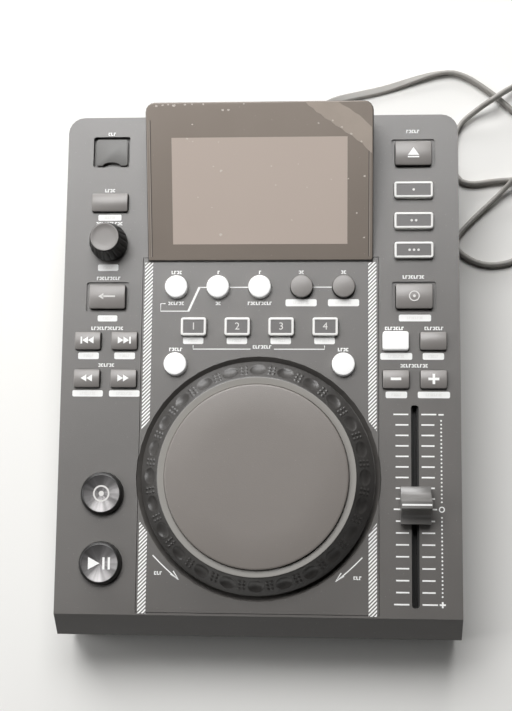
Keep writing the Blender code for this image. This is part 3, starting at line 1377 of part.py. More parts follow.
def least_gap(path, radius, apart):
    """The least clear distance between stretches of a cord that are a given number of points apart."""
    fine = [p.lerp(q, t / 4) for p, q in zip(path, path[1:]) for t in range(4)]
    return min(
        (fine[i] - fine[j]).length for i in range(len(fine)) for j in range(i + 4 * apart, len(fine))
    ) - 2 * radius


coil_length = sum((q - p).length for p, q in zip(coil_path, coil_path[1:]))
print(f"coil: least gap to itself {least_gap(coil_path, LEAD_RADIUS, COIL_POINTS // 2) * 1000:.2f} mm")
print(f"lead {lead_length:.3f} m and coil {coil_length:.3f} m")

# Two-pin mains plug, lying flat with its pins away from the coil
plug_width, plug_length, plug_height = PLUG
to_front = facing((0, -1, 0))
plug_end = coil_path[-1] - Vector((0, GAP, 0))
relief_end = RELIEF_LENGTH - OVERRUN
plug_body = box((plug_width, plug_height, plug_length), relief_end, plug_height * PLUG_SHOULDER_SHARE, 3)
narrowed(plug_body, EDGE_ROUND, EDGE_ROUND)
mains_plug = piece("mains_plug", turned_to(plug_body, to_front), LEAD_GREY, None, plug_end)
plug_relief = rod(LEAD_RADIUS, RELIEF_LENGTH, 0, SMALL_SIDES, RELIEF_RADIUS)
pin_base = relief_end + plug_length - OVERRUN
pins = []
for side in (-1, 1):
    plug_pin = rod(PIN_RADIUS, PIN_LENGTH, pin_base, SMALL_SIDES)
    narrowed(plug_pin, PIN_RADIUS / 2, PIN_RADIUS / 2)
    pins.append(moved(plug_pin, side * PIN_SPREAD / 2))
joined(mains_plug, moved(turned_to(together(plug_relief, *pins), to_front), *plug_end))

for obj in PARTS.objects:
    if obj.type == "MESH":
        obj.data.shade_smooth()
        obj.data.set_sharp_from_angle(angle=math.radians(30))
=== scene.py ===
import math

import bmesh
import bpy
import numpy as np
from mathutils import Matrix, Vector


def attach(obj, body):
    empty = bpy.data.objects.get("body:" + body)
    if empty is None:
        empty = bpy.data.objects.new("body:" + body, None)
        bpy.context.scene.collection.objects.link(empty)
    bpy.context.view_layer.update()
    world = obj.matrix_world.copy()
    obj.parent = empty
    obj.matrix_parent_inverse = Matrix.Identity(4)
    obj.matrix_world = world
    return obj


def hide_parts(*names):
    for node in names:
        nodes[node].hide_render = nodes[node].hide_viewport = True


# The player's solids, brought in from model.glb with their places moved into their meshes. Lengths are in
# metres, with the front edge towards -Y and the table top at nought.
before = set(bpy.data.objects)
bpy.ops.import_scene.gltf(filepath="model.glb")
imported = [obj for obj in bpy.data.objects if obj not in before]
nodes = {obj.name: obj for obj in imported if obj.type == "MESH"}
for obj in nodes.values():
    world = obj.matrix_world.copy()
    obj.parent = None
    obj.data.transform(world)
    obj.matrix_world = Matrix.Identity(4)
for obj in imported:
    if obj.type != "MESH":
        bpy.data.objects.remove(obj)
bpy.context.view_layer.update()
bpy.ops.object.select_all(action="DESELECT")


# The picture is taken standing over the table, a little in front of the player's middle and to its right,
# with a normal lens that looks down and slightly towards the back.
camera = bpy.data.objects.new("camera", bpy.data.cameras.new("camera"))
bpy.context.scene.collection.objects.link(camera)
camera.matrix_world = Matrix((
    (0.99782, -0.00180, 0.06593, 0.04466),
    (0.01563, 0.97762, -0.20981, -0.14409),
    (-0.06407, 0.21038, 0.97552, 0.74780),
    (0, 0, 0, 1),
))
camera.data.sensor_width = 36
camera.data.lens = 65.82
camera.data.clip_start = 0.05
camera.data.clip_end = 20
bpy.context.scene.camera = camera
bpy.context.scene.view_settings.view_transform = "Standard"


# The table under the player is plain, pale and matt.
def colour(red, green, blue):
    """A colour written as it looks on a screen, 0 to 255, as the light it stands for."""
    shares = [level / 255 for level in (red, green, blue)]
    light = [c / 12.92 if c < 0.04045 else ((c + 0.055) / 1.055) ** 2.4 for c in shares]
    return (*light, 1)


def new_finish(name, tint, roughness):
    """A fresh material, with its node tree and its shader, which every finish below adds to."""
    finish = bpy.data.materials.new(name)
    finish.use_nodes = True
    shader = finish.node_tree.nodes["Principled BSDF"]
    shader.inputs["Base Color"].default_value = colour(*tint)
    shader.inputs["Roughness"].default_value = roughness
    finish.diffuse_color = colour(*tint)
    return finish, finish.node_tree, shader


bpy.ops.mesh.primitive_plane_add(size=6, location=(0, 0, 0))
table = bpy.context.object
table.name = "table_top"
finish, tree, shader = new_finish("table_finish", (236, 235, 232), 0.7)
shader.inputs["Specular IOR Level"].default_value = 0.2
table.data.materials.append(finish)
bpy.ops.object.select_all(action="DESELECT")

# Soft light comes from all round, and most of it from a wide lamp overhead and behind the player, whose
# sheen lies over the back of the panel.
world = bpy.data.worlds.new("room")
world.use_nodes = True
tree = world.node_tree
direction = tree.nodes.new("ShaderNodeTexCoord")
parts = tree.nodes.new("ShaderNodeSeparateXYZ")
level = tree.nodes.new("ShaderNodeMapRange")
level.inputs["From Min"].default_value = -0.9
level.inputs["From Max"].default_value = 0.9
level.inputs["To Min"].default_value = 0.18
level.inputs["To Max"].default_value = 0.56
tree.links.new(direction.outputs["Generated"], parts.inputs["Vector"])
tree.links.new(parts.outputs["Y"], level.inputs["Value"])
tree.links.new(level.outputs["Result"], tree.nodes["Background"].inputs["Strength"])
bpy.context.scene.world = world
for name, place, size, power in (
    ("lamp_back", (-0.20, 0.76, 1.45), (1.3, 0.9), 26.0),
    ("lamp_side", (-1.3, -0.1, 1.1), (0.7, 1.2), 8.0),
    ("lamp_window", (-0.4, 1.7, 0.55), (2.2, 0.8), 27.0),
):
    lamp = bpy.data.objects.new(name, bpy.data.lights.new(name, "AREA"))
    bpy.context.scene.collection.objects.link(lamp)
    lamp.data.shape = "RECTANGLE"
    lamp.data.size, lamp.data.size_y = size
    lamp.data.energy = power
    lamp.location = place
    lamp.rotation_euler = (Vector((0, 0.02, 0.04)) - Vector(place)).to_track_quat("-Z", "Y").to_euler()


# The mains lead is a flat twin flex in grey plastic: two cores side by side with a groove between them. It
# leaves the connector sideways, drops behind the player, comes out on the right in two loose loops that
# cross themselves, and what is left of it is wound in a round coil with the plug at its end.
LEAD_WIDTH = 0.0050
LEAD_THICKNESS = 0.0028
LEAD_RADIUS = 0.0025
LEAD_POINTS = [
    (0.0048, 0.1447, 0.0400), (0.0160, 0.1455, 0.0390), (0.0271, 0.1546, 0.0278), (0.0328, 0.1675, 0.0105),
    (0.0412, 0.1757, 0.0036), (0.0700, 0.1828, 0.0025), (0.1025, 0.1925, 0.0025), (0.1183, 0.1905, 0.0025),
    (0.1364, 0.1778, 0.0025), (0.1523, 0.1636, 0.0025), (0.1639, 0.1616, 0.0025), (0.1722, 0.1678, 0.0025),
    (0.1735, 0.1782, 0.0025), (0.1671, 0.1864, 0.0025), (0.1565, 0.1874, 0.0025), (0.1448, 0.1798, 0.0068),
    (0.1360, 0.1728, 0.0106), (0.1261, 0.1672, 0.0062), (0.1152, 0.1580, 0.0026), (0.1110, 0.1425, 0.0025),
    (0.1128, 0.1267, 0.0025), (0.1209, 0.1214, 0.0025), (0.1399, 0.1232, 0.0025), (0.1880, 0.1262, 0.0025),
    (0.2000, 0.1309, 0.0025), (0.2052, 0.1422, 0.0025), (0.2003, 0.1535, 0.0025), (0.1890, 0.1582, 0.0025),
    (0.1765, 0.1535, 0.0028), (0.1650, 0.1426, 0.0045), (0.1542, 0.1299, 0.0093), (0.1483, 0.1242, 0.0103),
    (0.1379, 0.1140, 0.0044), (0.1222, 0.0990, 0.0025), (0.1124, 0.0871, 0.0025), (0.1140, 0.0789, 0.0025),
    (0.1265, 0.0717, 0.0025), (0.1413, 0.0721, 0.0025), (0.1611, 0.0802, 0.0025), (0.1845, 0.0815, 0.0025),
]
COIL_TURNS = 3
COIL_POINTS = 24
COIL_PITCH = 0.0055
COIL_REACH = 0.03685
COIL_LEAVING = 0.00685
FLEX_STEP = 0.004


def smooth_curve(points):
    """The points of a smooth curve through the given ones, twelve to each span."""
    path = [Vector(point) for point in points]
    path = [2 * path[0] - path[1], *path, 2 * path[-1] - path[-2]]
    fine = []
    for a, b, c, d in zip(path, path[1:], path[2:], path[3:]):
        for step in range(12):
            t = step / 12
            square = (2 * a - 5 * b + 4 * c - d) * t ** 2
            cube = (3 * b - a - 3 * c + d) * t ** 3
            place = (2 * b + (c - a) * t + square + cube) / 2
            place.z = max(place.z, LEAD_RADIUS)
            fine.append(place)
    return [*fine, path[-2]]


def even_steps(path, spacing):
    """The same curve as points at equal distances along it."""
    spans = [(q - p).length for p, q in zip(path, path[1:])]
    count = round(sum(spans) / spacing) + 1
    even, done, walked = [path[0]], 0, 0.0
    for i in range(1, count - 1):
        target = sum(spans) * i / (count - 1)
        while walked + spans[done] < target:
            walked += spans[done]
            done += 1
        even.append(path[done].lerp(path[done + 1], (target - walked) / spans[done]))
    return [*even, path[-1]]


loose_path = smooth_curve(LEAD_POINTS)
coil_start = Vector(LEAD_POINTS[-1]) + Vector((0.0003, 0, 0))
coil_middle = Vector((coil_start.x + 2 * LEAD_RADIUS, coil_start.y - COIL_REACH, 0))
coil_path = [coil_start]
for i in range(2 * COIL_TURNS * COIL_POINTS + 1 + COIL_POINTS // 4):
    turn = i / COIL_POINTS
    inward = min(turn, 2 * COIL_TURNS - turn)
    climb = min(max((turn - COIL_TURNS) / 0.5 + 0.5, 0), 1)
    angle = math.pi / 2 - 2 * math.pi * turn
    reach = COIL_REACH - COIL_PITCH * inward
    across = Vector((reach * math.cos(angle), reach * math.sin(angle), LEAD_RADIUS + COIL_PITCH * climb))
    coil_path.append(coil_middle + across)
drop = coil_path[-1].z - COIL_LEAVING
for share in (0, 0.5, 0.5, 0):
    coil_path.append(coil_path[-1] - Vector((0, 2 * LEAD_RADIUS, drop * share)))
lead_line = even_steps([*loose_path, *coil_path[1:]], FLEX_STEP)

# The flex lies on its edge nearly all the way, and over on its flat side for a stretch near the player, where
# it comes down to the table.
TURNS_OVER, IS_FLAT, TURNS_BACK, IS_ON_EDGE = 0.020, 0.055, 0.090, 0.150


def lay_of(walked):
    """How far the flex has turned over at a distance along it: one is flat, nought is on its edge."""
    share = min((walked - TURNS_OVER) / (IS_FLAT - TURNS_OVER), (IS_ON_EDGE - walked) / (IS_ON_EDGE - TURNS_BACK))
    flat = min(max(share, 0), 1)
    return flat * flat * (3 - 2 * flat)


half_spacing = (LEAD_WIDTH - LEAD_THICKNESS) / 2
flex_outline = []
for side in (1, -1):
    for step in range(9):
        angle = math.radians(-80 + 20 * step) + (0 if side > 0 else math.pi)
        flex_outline.append((
            side * half_spacing + LEAD_THICKNESS / 2 * math.cos(angle), LEAD_THICKNESS / 2 * math.sin(angle)
        ))
    flex_outline.append((0, side * LEAD_THICKNESS * 0.36))
flex = bmesh.new()
rings, walked = [], 0.0
for i, place in enumerate(lead_line):
    before, after = lead_line[max(i - 1, 0)], lead_line[min(i + 1, len(lead_line) - 1)]
    walked += (place - before).length
    along = (after - before).normalized()
    level = along.cross((0, 0, 1)).normalized()
    upward = level.cross(along)
    flat = lay_of(walked)
    lean = math.radians(90) * (1 - flat)
    wide = level * math.cos(lean) + upward * math.sin(lean)
    thin = upward * math.cos(lean) - level * math.sin(lean)
    centre = place - Vector((0, 0, half_spacing * (1 - math.sin(lean))))
    lead_line[i] = centre
    rings.append([flex.verts.new(centre + wide * u + thin * v) for u, v in flex_outline])
for ring, following in zip(rings, rings[1:]):
    for j in range(len(ring)):
        flex.faces.new((ring[j - 1], ring[j], following[j], following[j - 1]))
flex.faces.new(rings[0])
flex.faces.new(reversed(rings[-1]))
bmesh.ops.recalc_face_normals(flex, faces=flex.faces)
mesh = bpy.data.meshes.new("mains_flex")
flex.to_mesh(mesh)
flex.free()
mains_flex = bpy.data.objects.new("mains_flex", mesh)
bpy.context.scene.collection.objects.link(mains_flex)
mesh.shade_smooth()

# The sheath of the flex, its connector and its plug are one soft grey plastic with a dull sheen, faintly
# uneven in tone. The flex goes into both of them, so the three are one cord.
flex_finish, tree, shader = new_finish("flex_finish", (150, 147, 142), 0.42)
coords = tree.nodes.new("ShaderNodeTexCoord")
mottle = tree.nodes.new("ShaderNodeTexNoise")
mottle.inputs["Scale"].default_value = 60
tones = tree.nodes.new("ShaderNodeMapRange")
tones.inputs["To Min"].default_value = 0.85
tones.inputs["To Max"].default_value = 1.1
tint = tree.nodes.new("ShaderNodeVectorMath")
tint.operation = "SCALE"
tint.inputs[0].default_value = shader.inputs["Base Color"].default_value[:3]
tree.links.new(coords.outputs["Object"], mottle.inputs["Vector"])
tree.links.new(mottle.outputs["Fac"], tones.inputs["Value"])
tree.links.new(tones.outputs["Result"], tint.inputs["Scale"])
tree.links.new(tint.outputs["Vector"], shader.inputs["Base Color"])
mesh.materials.append(flex_finish)
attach(mains_flex, "housing")
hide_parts("lead", "lead_coil")

# The cover, the middle plate and the screen's shell are moulded in one black plastic with a fine matt grain,
# which looks grey under the lamp and shows faint dust and handling marks. On the slope along the cover's front
# edge the colour is painted at half its tone, a painted shade.
PANEL_FRONT = Vector((0, -0.134917, 0.0520))
DECK = Matrix.Translation(PANEL_FRONT) @ Matrix.Rotation(math.radians(4), 4, "X")


def grained(tree, shader, grain, depth, uneven=0.12, patch=14):
    """Adds a fine moulded grain, and colour and gloss that vary softly over the piece."""
    coords = tree.nodes.new("ShaderNodeTexCoord")
    fine = tree.nodes.new("ShaderNodeTexNoise")
    fine.inputs["Scale"].default_value = grain
    fine.inputs["Detail"].default_value = 3
    bump = tree.nodes.new("ShaderNodeBump")
    bump.inputs["Strength"].default_value = depth
    bump.inputs["Distance"].default_value = 0.0002
    broad = tree.nodes.new("ShaderNodeTexNoise")
    broad.inputs["Scale"].default_value = patch
    broad.inputs["Detail"].default_value = 6
    level = tree.nodes.new("ShaderNodeMapRange")
    level.inputs["To Min"].default_value = 1 - uneven
    level.inputs["To Max"].default_value = 1 + uneven
    tint = tree.nodes.new("ShaderNodeVectorMath")
    tint.operation = "SCALE"
    tint.inputs[0].default_value = shader.inputs["Base Color"].default_value[:3]
    dull = tree.nodes.new("ShaderNodeMapRange")
    roughness = shader.inputs["Roughness"].default_value
    dull.inputs["To Min"].default_value = roughness - 0.07
    dull.inputs["To Max"].default_value = roughness + 0.07
    link = tree.links.new
    for noise in (fine, broad):
        link(coords.outputs["Object"], noise.inputs["Vector"])
    link(fine.outputs["Fac"], bump.inputs["Height"])
    link(bump.outputs["Normal"], shader.inputs["Normal"])
    link(broad.outputs["Fac"], level.inputs["Value"])
    link(level.outputs["Result"], tint.inputs["Scale"])
    link(tint.outputs["Vector"], shader.inputs["Base Color"])
    link(broad.outputs["Fac"], dull.inputs["Value"])
    link(dull.outputs["Result"], shader.inputs["Roughness"])
    return tint


def dusted(tree, shader, tint, scale, share, dust):
    """Sprinkles small pale specks of dust over a finish."""
    coords = tree.nodes.new("ShaderNodeTexCoord")
    cells = tree.nodes.new("ShaderNodeTexVoronoi")
    cells.inputs["Scale"].default_value = scale
    chosen = tree.nodes.new("ShaderNodeMath")
    chosen.operation = "LESS_THAN"
    chosen.inputs[1].default_value = share
    mix = tree.nodes.new("ShaderNodeMix")
    mix.data_type = "RGBA"
    mix.inputs["B"].default_value = colour(*dust)
    tree.links.new(coords.outputs["Object"], cells.inputs["Vector"])
    tree.links.new(cells.outputs["Distance"], chosen.inputs[0])
    tree.links.new(chosen.outputs["Value"], mix.inputs["Factor"])
    tree.links.new(tint.outputs["Vector"], mix.inputs["A"])
    tree.links.new(mix.outputs["Result"], shader.inputs["Base Color"])


cover_finish, tree, shader = new_finish("cover_finish", (98, 95, 92), 0.38)
shader.inputs["Specular IOR Level"].default_value = 1.0
tint = grained(tree, shader, 2600, 0.35)
# Painted shade: in front of the panel's front edge, where the cover slopes down, the colour is halved.
coords = tree.nodes.new("ShaderNodeTexCoord")
parts = tree.nodes.new("ShaderNodeSeparateXYZ")
front_shade_mask = tree.nodes.new("ShaderNodeMapRange")
front_shade_mask.inputs["From Min"].default_value = PANEL_FRONT.y - 0.0002
front_shade_mask.inputs["From Max"].default_value = PANEL_FRONT.y + 0.0002
front_shade_mask.inputs["To Min"].default_value = 0.50
front_shade_mask.inputs["To Max"].default_value = 1.0
front_shaded_tint = tree.nodes.new("ShaderNodeVectorMath")
front_shaded_tint.operation = "SCALE"
tree.links.new(coords.outputs["Object"], parts.inputs["Vector"])
tree.links.new(parts.outputs["Y"], front_shade_mask.inputs["Value"])
tree.links.new(tint.outputs["Vector"], front_shaded_tint.inputs[0])
tree.links.new(front_shade_mask.outputs["Result"], front_shaded_tint.inputs["Scale"])
dusted(tree, shader, front_shaded_tint, 420, 0.045, (170, 166, 162))


def clad(node, finish):
    """Gives a solid of the player its finish."""
    nodes[node].data.materials.clear()
    nodes[node].data.materials.append(finish)


clad("centre_plate", cover_finish)


def settled(shape, name, finish, body, place=None):
    """Moves a finished shape's place into its mesh, gives it its name and finish, and fixes it to its body."""
    shape.name = name
    shape.data.name = name
    bpy.context.view_layer.update()
    shape.data.transform((place or Matrix.Identity(4)) @ shape.matrix_world)
    shape.matrix_world = Matrix.Identity(4)
    for one in finish if isinstance(finish, list) else [finish]:
        shape.data.materials.append(one)
    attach(shape, body)
    shape.select_set(False)
    return shape


def shape_of(mesh_code):
    """A new object from mesh code."""
    mesh = bpy.data.meshes.new("shape")
    bmesh.ops.recalc_face_normals(mesh_code, faces=mesh_code.faces)
    mesh_code.to_mesh(mesh)
    mesh_code.free()
    shape = bpy.data.objects.new("shape", mesh)
    bpy.context.scene.collection.objects.link(shape)
    return shape


# The cover is one moulding in that plastic, with a slope along its front edge. The tips of its two front screw
# posts are trimmed flush with the slope.
SLOPE_FOOT = Vector((0, -0.145418, 0.0400))
POST_X, POST_FRONT, POST_TOP = 0.1025, -0.1425, 0.0428
POST_REACH = 0.0045
front_slope = (PANEL_FRONT.z - SLOPE_FOOT.z) / (PANEL_FRONT.y - SLOPE_FOOT.y)
cover = bmesh.new()
cover.from_mesh(nodes["top_cover"].data)
bmesh.ops.remove_doubles(cover, verts=cover.verts, dist=1e-6)
for vertex in cover.verts:
    front_z = SLOPE_FOOT.z + (vertex.co.y - SLOPE_FOOT.y) * front_slope
    on_post = abs(abs(vertex.co.x) - POST_X) < POST_REACH and vertex.co.y < POST_FRONT
    if on_post and front_z + 5e-6 < vertex.co.z < POST_TOP:
        vertex.co.z = front_z
bmesh.ops.remove_doubles(cover, verts=cover.verts, dist=2e-5)
bmesh.ops.dissolve_degenerate(cover, edges=cover.edges, dist=1e-5)
for face in cover.faces:
    face.smooth = False
cover_shell = settled(shape_of(cover), "cover_shell", cover_finish, "housing")
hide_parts("top_cover")


# The screen stands up behind the keys on its own slope. Its front is one sheet of smoked acrylic with soft
# edges: the clear window over the display shows paler than the tinted border round it.
SCREEN = DECK @ Matrix.Translation((0, 0.1907, 0.0018)) @ Matrix.Rotation(math.radians(16), 4, "X")
LENS_HALF = 0.0611
LENS_FOOT = 0.0003
LENS_HEAD = 0.0852
LENS_THICKNESS = 0.0009
WINDOW_HALF = 0.0475
WINDOW_FOOT = 0.0090
WINDOW_HEAD = 0.0665
LENS_LAYER = 0.00001

acrylic, tree, shader = new_finish("acrylic_finish", (146, 136, 127), 0.24)
shader.inputs["Specular IOR Level"].default_value = 0.6
tint = grained(tree, shader, 300, 0.02, 0.07, 20)
dusted(tree, shader, tint, 260, 0.035, (205, 197, 188))
window_finish, tree, shader = new_finish("window_finish", (201, 187, 177), 0.22)
tint = grained(tree, shader, 300, 0.02, 0.03, 12)
dusted(tree, shader, tint, 260, 0.03, (225, 216, 206))

shell = bmesh.new()
shell.from_mesh(nodes["screen_housing"].data)
bmesh.ops.remove_doubles(shell, verts=shell.verts, dist=1e-6)
shell.transform(SCREEN.inverted())
cut = bmesh.ops.bisect_plane(
    shell, geom=[*shell.verts, *shell.edges, *shell.faces], plane_co=(0, 0, -LENS_THICKNESS), plane_no=(0, 0, 1),
    clear_outer=True,
)
cut_edges = [e for e in cut["geom_cut"] if isinstance(e, bmesh.types.BMEdge)]
bmesh.ops.triangle_fill(shell, edges=cut_edges, use_beauty=True)
shell_piece = shape_of(shell)
settled(shell_piece, "screen_shell", cover_finish, "housing", SCREEN)
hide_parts("screen_housing")

bpy.ops.mesh.primitive_cube_add(size=1, location=(0, (LENS_FOOT + LENS_HEAD) / 2, -LENS_THICKNESS / 2))
lens = bpy.context.object
lens.scale = (2 * LENS_HALF, LENS_HEAD - LENS_FOOT, LENS_THICKNESS)
bpy.ops.object.transform_apply(location=True, scale=True)
sheet = bmesh.new()
sheet.from_mesh(lens.data)
upright = [e for e in sheet.edges if abs((e.verts[0].co - e.verts[1].co).z) > 0.0005]
for offset, corner_edges in (
    (0.0048, [e for e in upright if e.verts[0].co.y > WINDOW_FOOT]),
    (0.0012, [e for e in upright if e.verts[0].co.y < WINDOW_FOOT]),
):
    bmesh.ops.bevel(sheet, geom=corner_edges, offset=offset, segments=8, affect="EDGES", profile=0.5)
rim = [e for e in sheet.edges if all(v.co.z > -0.0001 for v in e.verts)]
bmesh.ops.bevel(sheet, geom=rim, offset=0.0004, segments=3, affect="EDGES", profile=0.5)
lens_face = max(sheet.faces, key=lambda f: f.calc_area() if f.normal.z > 0.9 else 0)
top = lens_face.calc_center_median().z
sheet.to_mesh(lens.data)
sheet.free()
lens.data.shade_smooth()
lens.data.set_sharp_from_angle(angle=math.radians(35))
settled(lens, "screen_lens_sheet", acrylic, "housing", SCREEN)
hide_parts("screen_lens")
pane = bmesh.new()
pane.faces.new([pane.verts.new((x, y, top + 4 * LENS_LAYER)) for x, y in (
    (-WINDOW_HALF, WINDOW_FOOT), (WINDOW_HALF, WINDOW_FOOT), (WINDOW_HALF, WINDOW_HEAD), (-WINDOW_HALF, WINDOW_HEAD)
)])
settled(shape_of(pane), "display_window", window_finish, "housing", SCREEN)

# Along both long sides, where the sheet's polished edge shows through it, a thin bright line is painted beside
# a dark one: a painted highlight and a painted shade of that edge. Both lines stop short of the corners.
LINE_FOOT, LINE_HEAD = 0.0022, 0.0760
edge_glint, tree, shader = new_finish("acrylic_edge_painted_glint", (176, 168, 160), 0.2)
grained(tree, shader, 500, 0.05, 0.15, 60)
edge_shade, tree, shader = new_finish("acrylic_edge_painted_shade", (96, 90, 86), 0.2)
grained(tree, shader, 500, 0.05, 0.1, 60)
for name, finish, inset, width in (
    ("painted_edge_glints", edge_glint, 0.0016, 0.0003), ("painted_edge_shades", edge_shade, 0.0021, 0.0004)
):
    lines = bmesh.new()
    for side in (-1, 1):
        left, right = (side * (LENS_HALF - inset) + edge * width / 2 for edge in (-1, 1))
        lines.faces.new([lines.verts.new((x, y, top + 5 * LENS_LAYER)) for x, y in (
            (left, LINE_FOOT), (right, LINE_FOOT), (right, LINE_HEAD), (left, LINE_HEAD)
        )])
    settled(shape_of(lines), name, finish, "housing", SCREEN)

# A torn corner of the factory's protective film is still stuck at the top right, milky beside the clear
# acrylic, with ragged edges, and crumbs of glue are left where the rest was pulled off.
film_finish, tree, shader = new_finish("film_finish", (178, 166, 155), 0.4)
grained(tree, shader, 700, 0.3, 0.1, 90)
crumb_finish, tree, shader = new_finish("crumb_finish", (214, 205, 196), 0.6)
grained(tree, shader, 900, 0.4, 0.1, 200)
RAGGED_EDGE = [
    (25.2, 84.7), (26.6, 82.9), (29.0, 81.6), (30.6, 79.6), (33.4, 78.2), (35.2, 76.2), (38.6, 74.6), (41.0, 72.3),
    (44.2, 70.7), (46.4, 68.6), (50.0, 66.9), (52.6, 64.4), (55.6, 62.6), (57.4, 60.2), (60.6, 57.4),
]
CREASE = [(42.5, 84.7), (44.8, 83.1), (48.6, 81.2), (51.0, 79.2), (54.2, 77.4), (57.0, 74.6), (60.6, 71.2)]
# Painted shade: beyond its crease the corner of the film is a darker copy of the film's finish.
shaded_film_finish, tree, shader = new_finish("shaded_film_finish", (150, 140, 131), 0.3)
grained(tree, shader, 700, 0.2, 0.08, 90)
for name, finish, outline in (
    ("film_band", film_finish, [*RAGGED_EDGE, *reversed(CREASE)]),
    ("film_corner", shaded_film_finish, [*CREASE, (60.7, 81.0), (59.9, 83.2), (58.3, 84.6), (56.6, 84.9)]),
):
    film = bmesh.new()
    film.faces.new([film.verts.new((x / 1000, u / 1000, top + 6 * LENS_LAYER)) for x, u in outline])
    bmesh.ops.triangulate(film, faces=film.faces)
    settled(shape_of(film), name, finish, "housing", SCREEN)
crumbs = bmesh.new()
rng = np.random.default_rng(7)
CRUMBS = [
    (-20.8, 48.6, 1.5), (8.7, 40.8, 0.9), (-21.2, 14.2, 1.6), (56.6, 45.4, 1.3), (-33.6, 34.5, 0.8),
    (38.8, 43.7, 0.8), (25.7, 39.5, 0.7), (-25, 51, 0.9), (6.5, 51, 0.8), (21, 52, 0.8),
    (-39, 66, 1.0), (-36, 64.5, 0.8), (-22, 64, 0.8), (-26, 29, 0.7), (17.5, 22, 0.8),
    (52.5, 25.6, 0.9), (56.6, 12.4, 1.1), (32, 73.6, 0.9), (-36, 73.6, 0.9), (-19.5, 81.0, 1.2),
    (-16.4, 81.0, 1.3), (48, 44, 0.7), (-40, 84.0, 1.3), (-46, 83.7, 1.7), (-52, 83.8, 1.2),
    (-30, 84.2, 1.0), (-55.6, 83.4, 1.5), (-49, 84.2, 1.2), (-36, 84.2, 0.9), (-8, 84.2, 0.8),
    (44.5, 71.5, 1.1), (49.5, 67.8, 1.2), (55.0, 63.8, 1.0), (39.5, 74.9, 1.0),
]
CRUMB_SIDES = 7
for x, u, size in CRUMBS:
    ring = []
    for i in range(CRUMB_SIDES):
        angle = i * math.tau / CRUMB_SIDES
        reach = size / 2000 * rng.uniform(0.55, 1.15)
        ring.append(crumbs.verts.new((
            x / 1000 + reach * 1.3 * math.cos(angle), u / 1000 + reach * math.sin(angle), top + 9 * LENS_LAYER
        )))
    crumbs.faces.new(ring)
settled(shape_of(crumbs), "glue_crumbs", crumb_finish, "housing", SCREEN)


# Every key is a small plastic cap with softened edges that stands in a hole in the cover. Its faces that look
# upwards are painted a matt grey and its sides a shiny black: a painted sheen on the top, a painted shade on the
# sides.
sheened_key_top, tree, shader = new_finish("key_top_finish", (136, 132, 129), 0.34)
shader.inputs["Specular IOR Level"].default_value = 0.7
dusted(tree, shader, grained(tree, shader, 1900, 0.15, 0.1, 60), 700, 0.05, (190, 186, 182))
key_side, tree, shader = new_finish("key_side_finish", (38, 37, 36), 0.3)
grained(tree, shader, 1500, 0.1)
key_lit, tree, shader = new_finish("key_lit_finish", (250, 250, 248), 0.45)
shader.inputs["Emission Color"].default_value = (1, 1, 1, 1)
shader.inputs["Emission Strength"].default_value = 0.1
grained(tree, shader, 1500, 0.04, 0.02, 40)
key_rim, tree, shader = new_finish("key_rim_finish", (240, 239, 236), 0.4)
grained(tree, shader, 1500, 0.06, 0.04, 60)
key_insert, tree, shader = new_finish("key_insert_finish", (112, 110, 109), 0.34)
grained(tree, shader, 1700, 0.12, 0.1, 60)
FLANGE_LIP = 0.001


def span_of(node, frame_of=None):
    """Lowest and highest corner of a solid, measured in the panel's own frame."""
    inverse = (frame_of or DECK).inverted()
    points = np.array([inverse @ v.co for v in nodes[node].data.vertices])
    return Vector(points.min(0)), Vector(points.max(0))


def softened(shape, edges_of, offset, segments):
    """Rounds off the edges of a shape that a test picks out."""
    body = bmesh.new()
    body.from_mesh(shape.data)
    chosen = [e for e in body.edges if edges_of(e)]
    bmesh.ops.bevel(body, geom=chosen, offset=offset, segments=segments, affect="EDGES", profile=0.5)
    body.to_mesh(shape.data)
    body.free()


def key_cap(node, corner, rounding, round_cap=False):
    """The bare cap of a key over its solid: a block or a disc with rounded corners and a soft upper edge."""
    low, high = span_of(node)
    width, depth = high.x - low.x - 2 * FLANGE_LIP, high.y - low.y - 2 * FLANGE_LIP
    middle = ((low.x + high.x) / 2, (low.y + high.y) / 2, (low.z + high.z) / 2)
    if round_cap:
        bpy.ops.mesh.primitive_cylinder_add(vertices=64, radius=width / 2, depth=high.z - low.z, location=middle)
    else:
        bpy.ops.mesh.primitive_cube_add(size=1, location=middle)
        bpy.context.object.scale = (width, depth, high.z - low.z)
    cap = bpy.context.object
    bpy.ops.object.transform_apply(location=True, scale=True)
    if not round_cap:
        softened(cap, lambda e: abs((e.verts[0].co - e.verts[1].co).z) > 0.001, corner, 5)
    softened(cap, lambda e: all(v.co.z > high.z - 0.0001 for v in e.verts), rounding, 3)
    return cap


def crowned(cap, drop):
    """Rounds the top of a key over from its middle to its front and back edges, like a shallow barrel."""
    body = bmesh.new()
    body.from_mesh(cap.data)
    points = [v.co for v in body.verts]
    foot, head = min(p.y for p in points), max(p.y for p in points)
    top = max(p.z for p in points)
    for step in range(1, 10):
        place = foot + (head - foot) * step / 10
        whole = [*body.verts, *body.edges, *body.faces]
        bmesh.ops.bisect_plane(body, geom=whole, plane_co=(0, place, 0), plane_no=(0, 1, 0))
    for v in body.verts:
        if v.co.z > top - 0.001:
            v.co.z -= drop * (2 * (v.co.y - foot) / (head - foot) - 1) ** 2
    body.to_mesh(cap.data)
    body.free()


def split_by(shape, test):
    """Hands the faces that a test picks out to the second of a piece's finishes."""
    for polygon in shape.data.polygons:
        polygon.material_index = 1 if test(polygon) else 0


def finish_key(cap, node, body, finishes):
    """Smooths a key's cap and puts it on its key in place of the solid."""
    cap.data.shade_smooth()
    cap.data.set_sharp_from_angle(angle=math.radians(50))
    settled(cap, node.replace("_key", "_cap"), finishes, body, DECK)
    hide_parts(node)


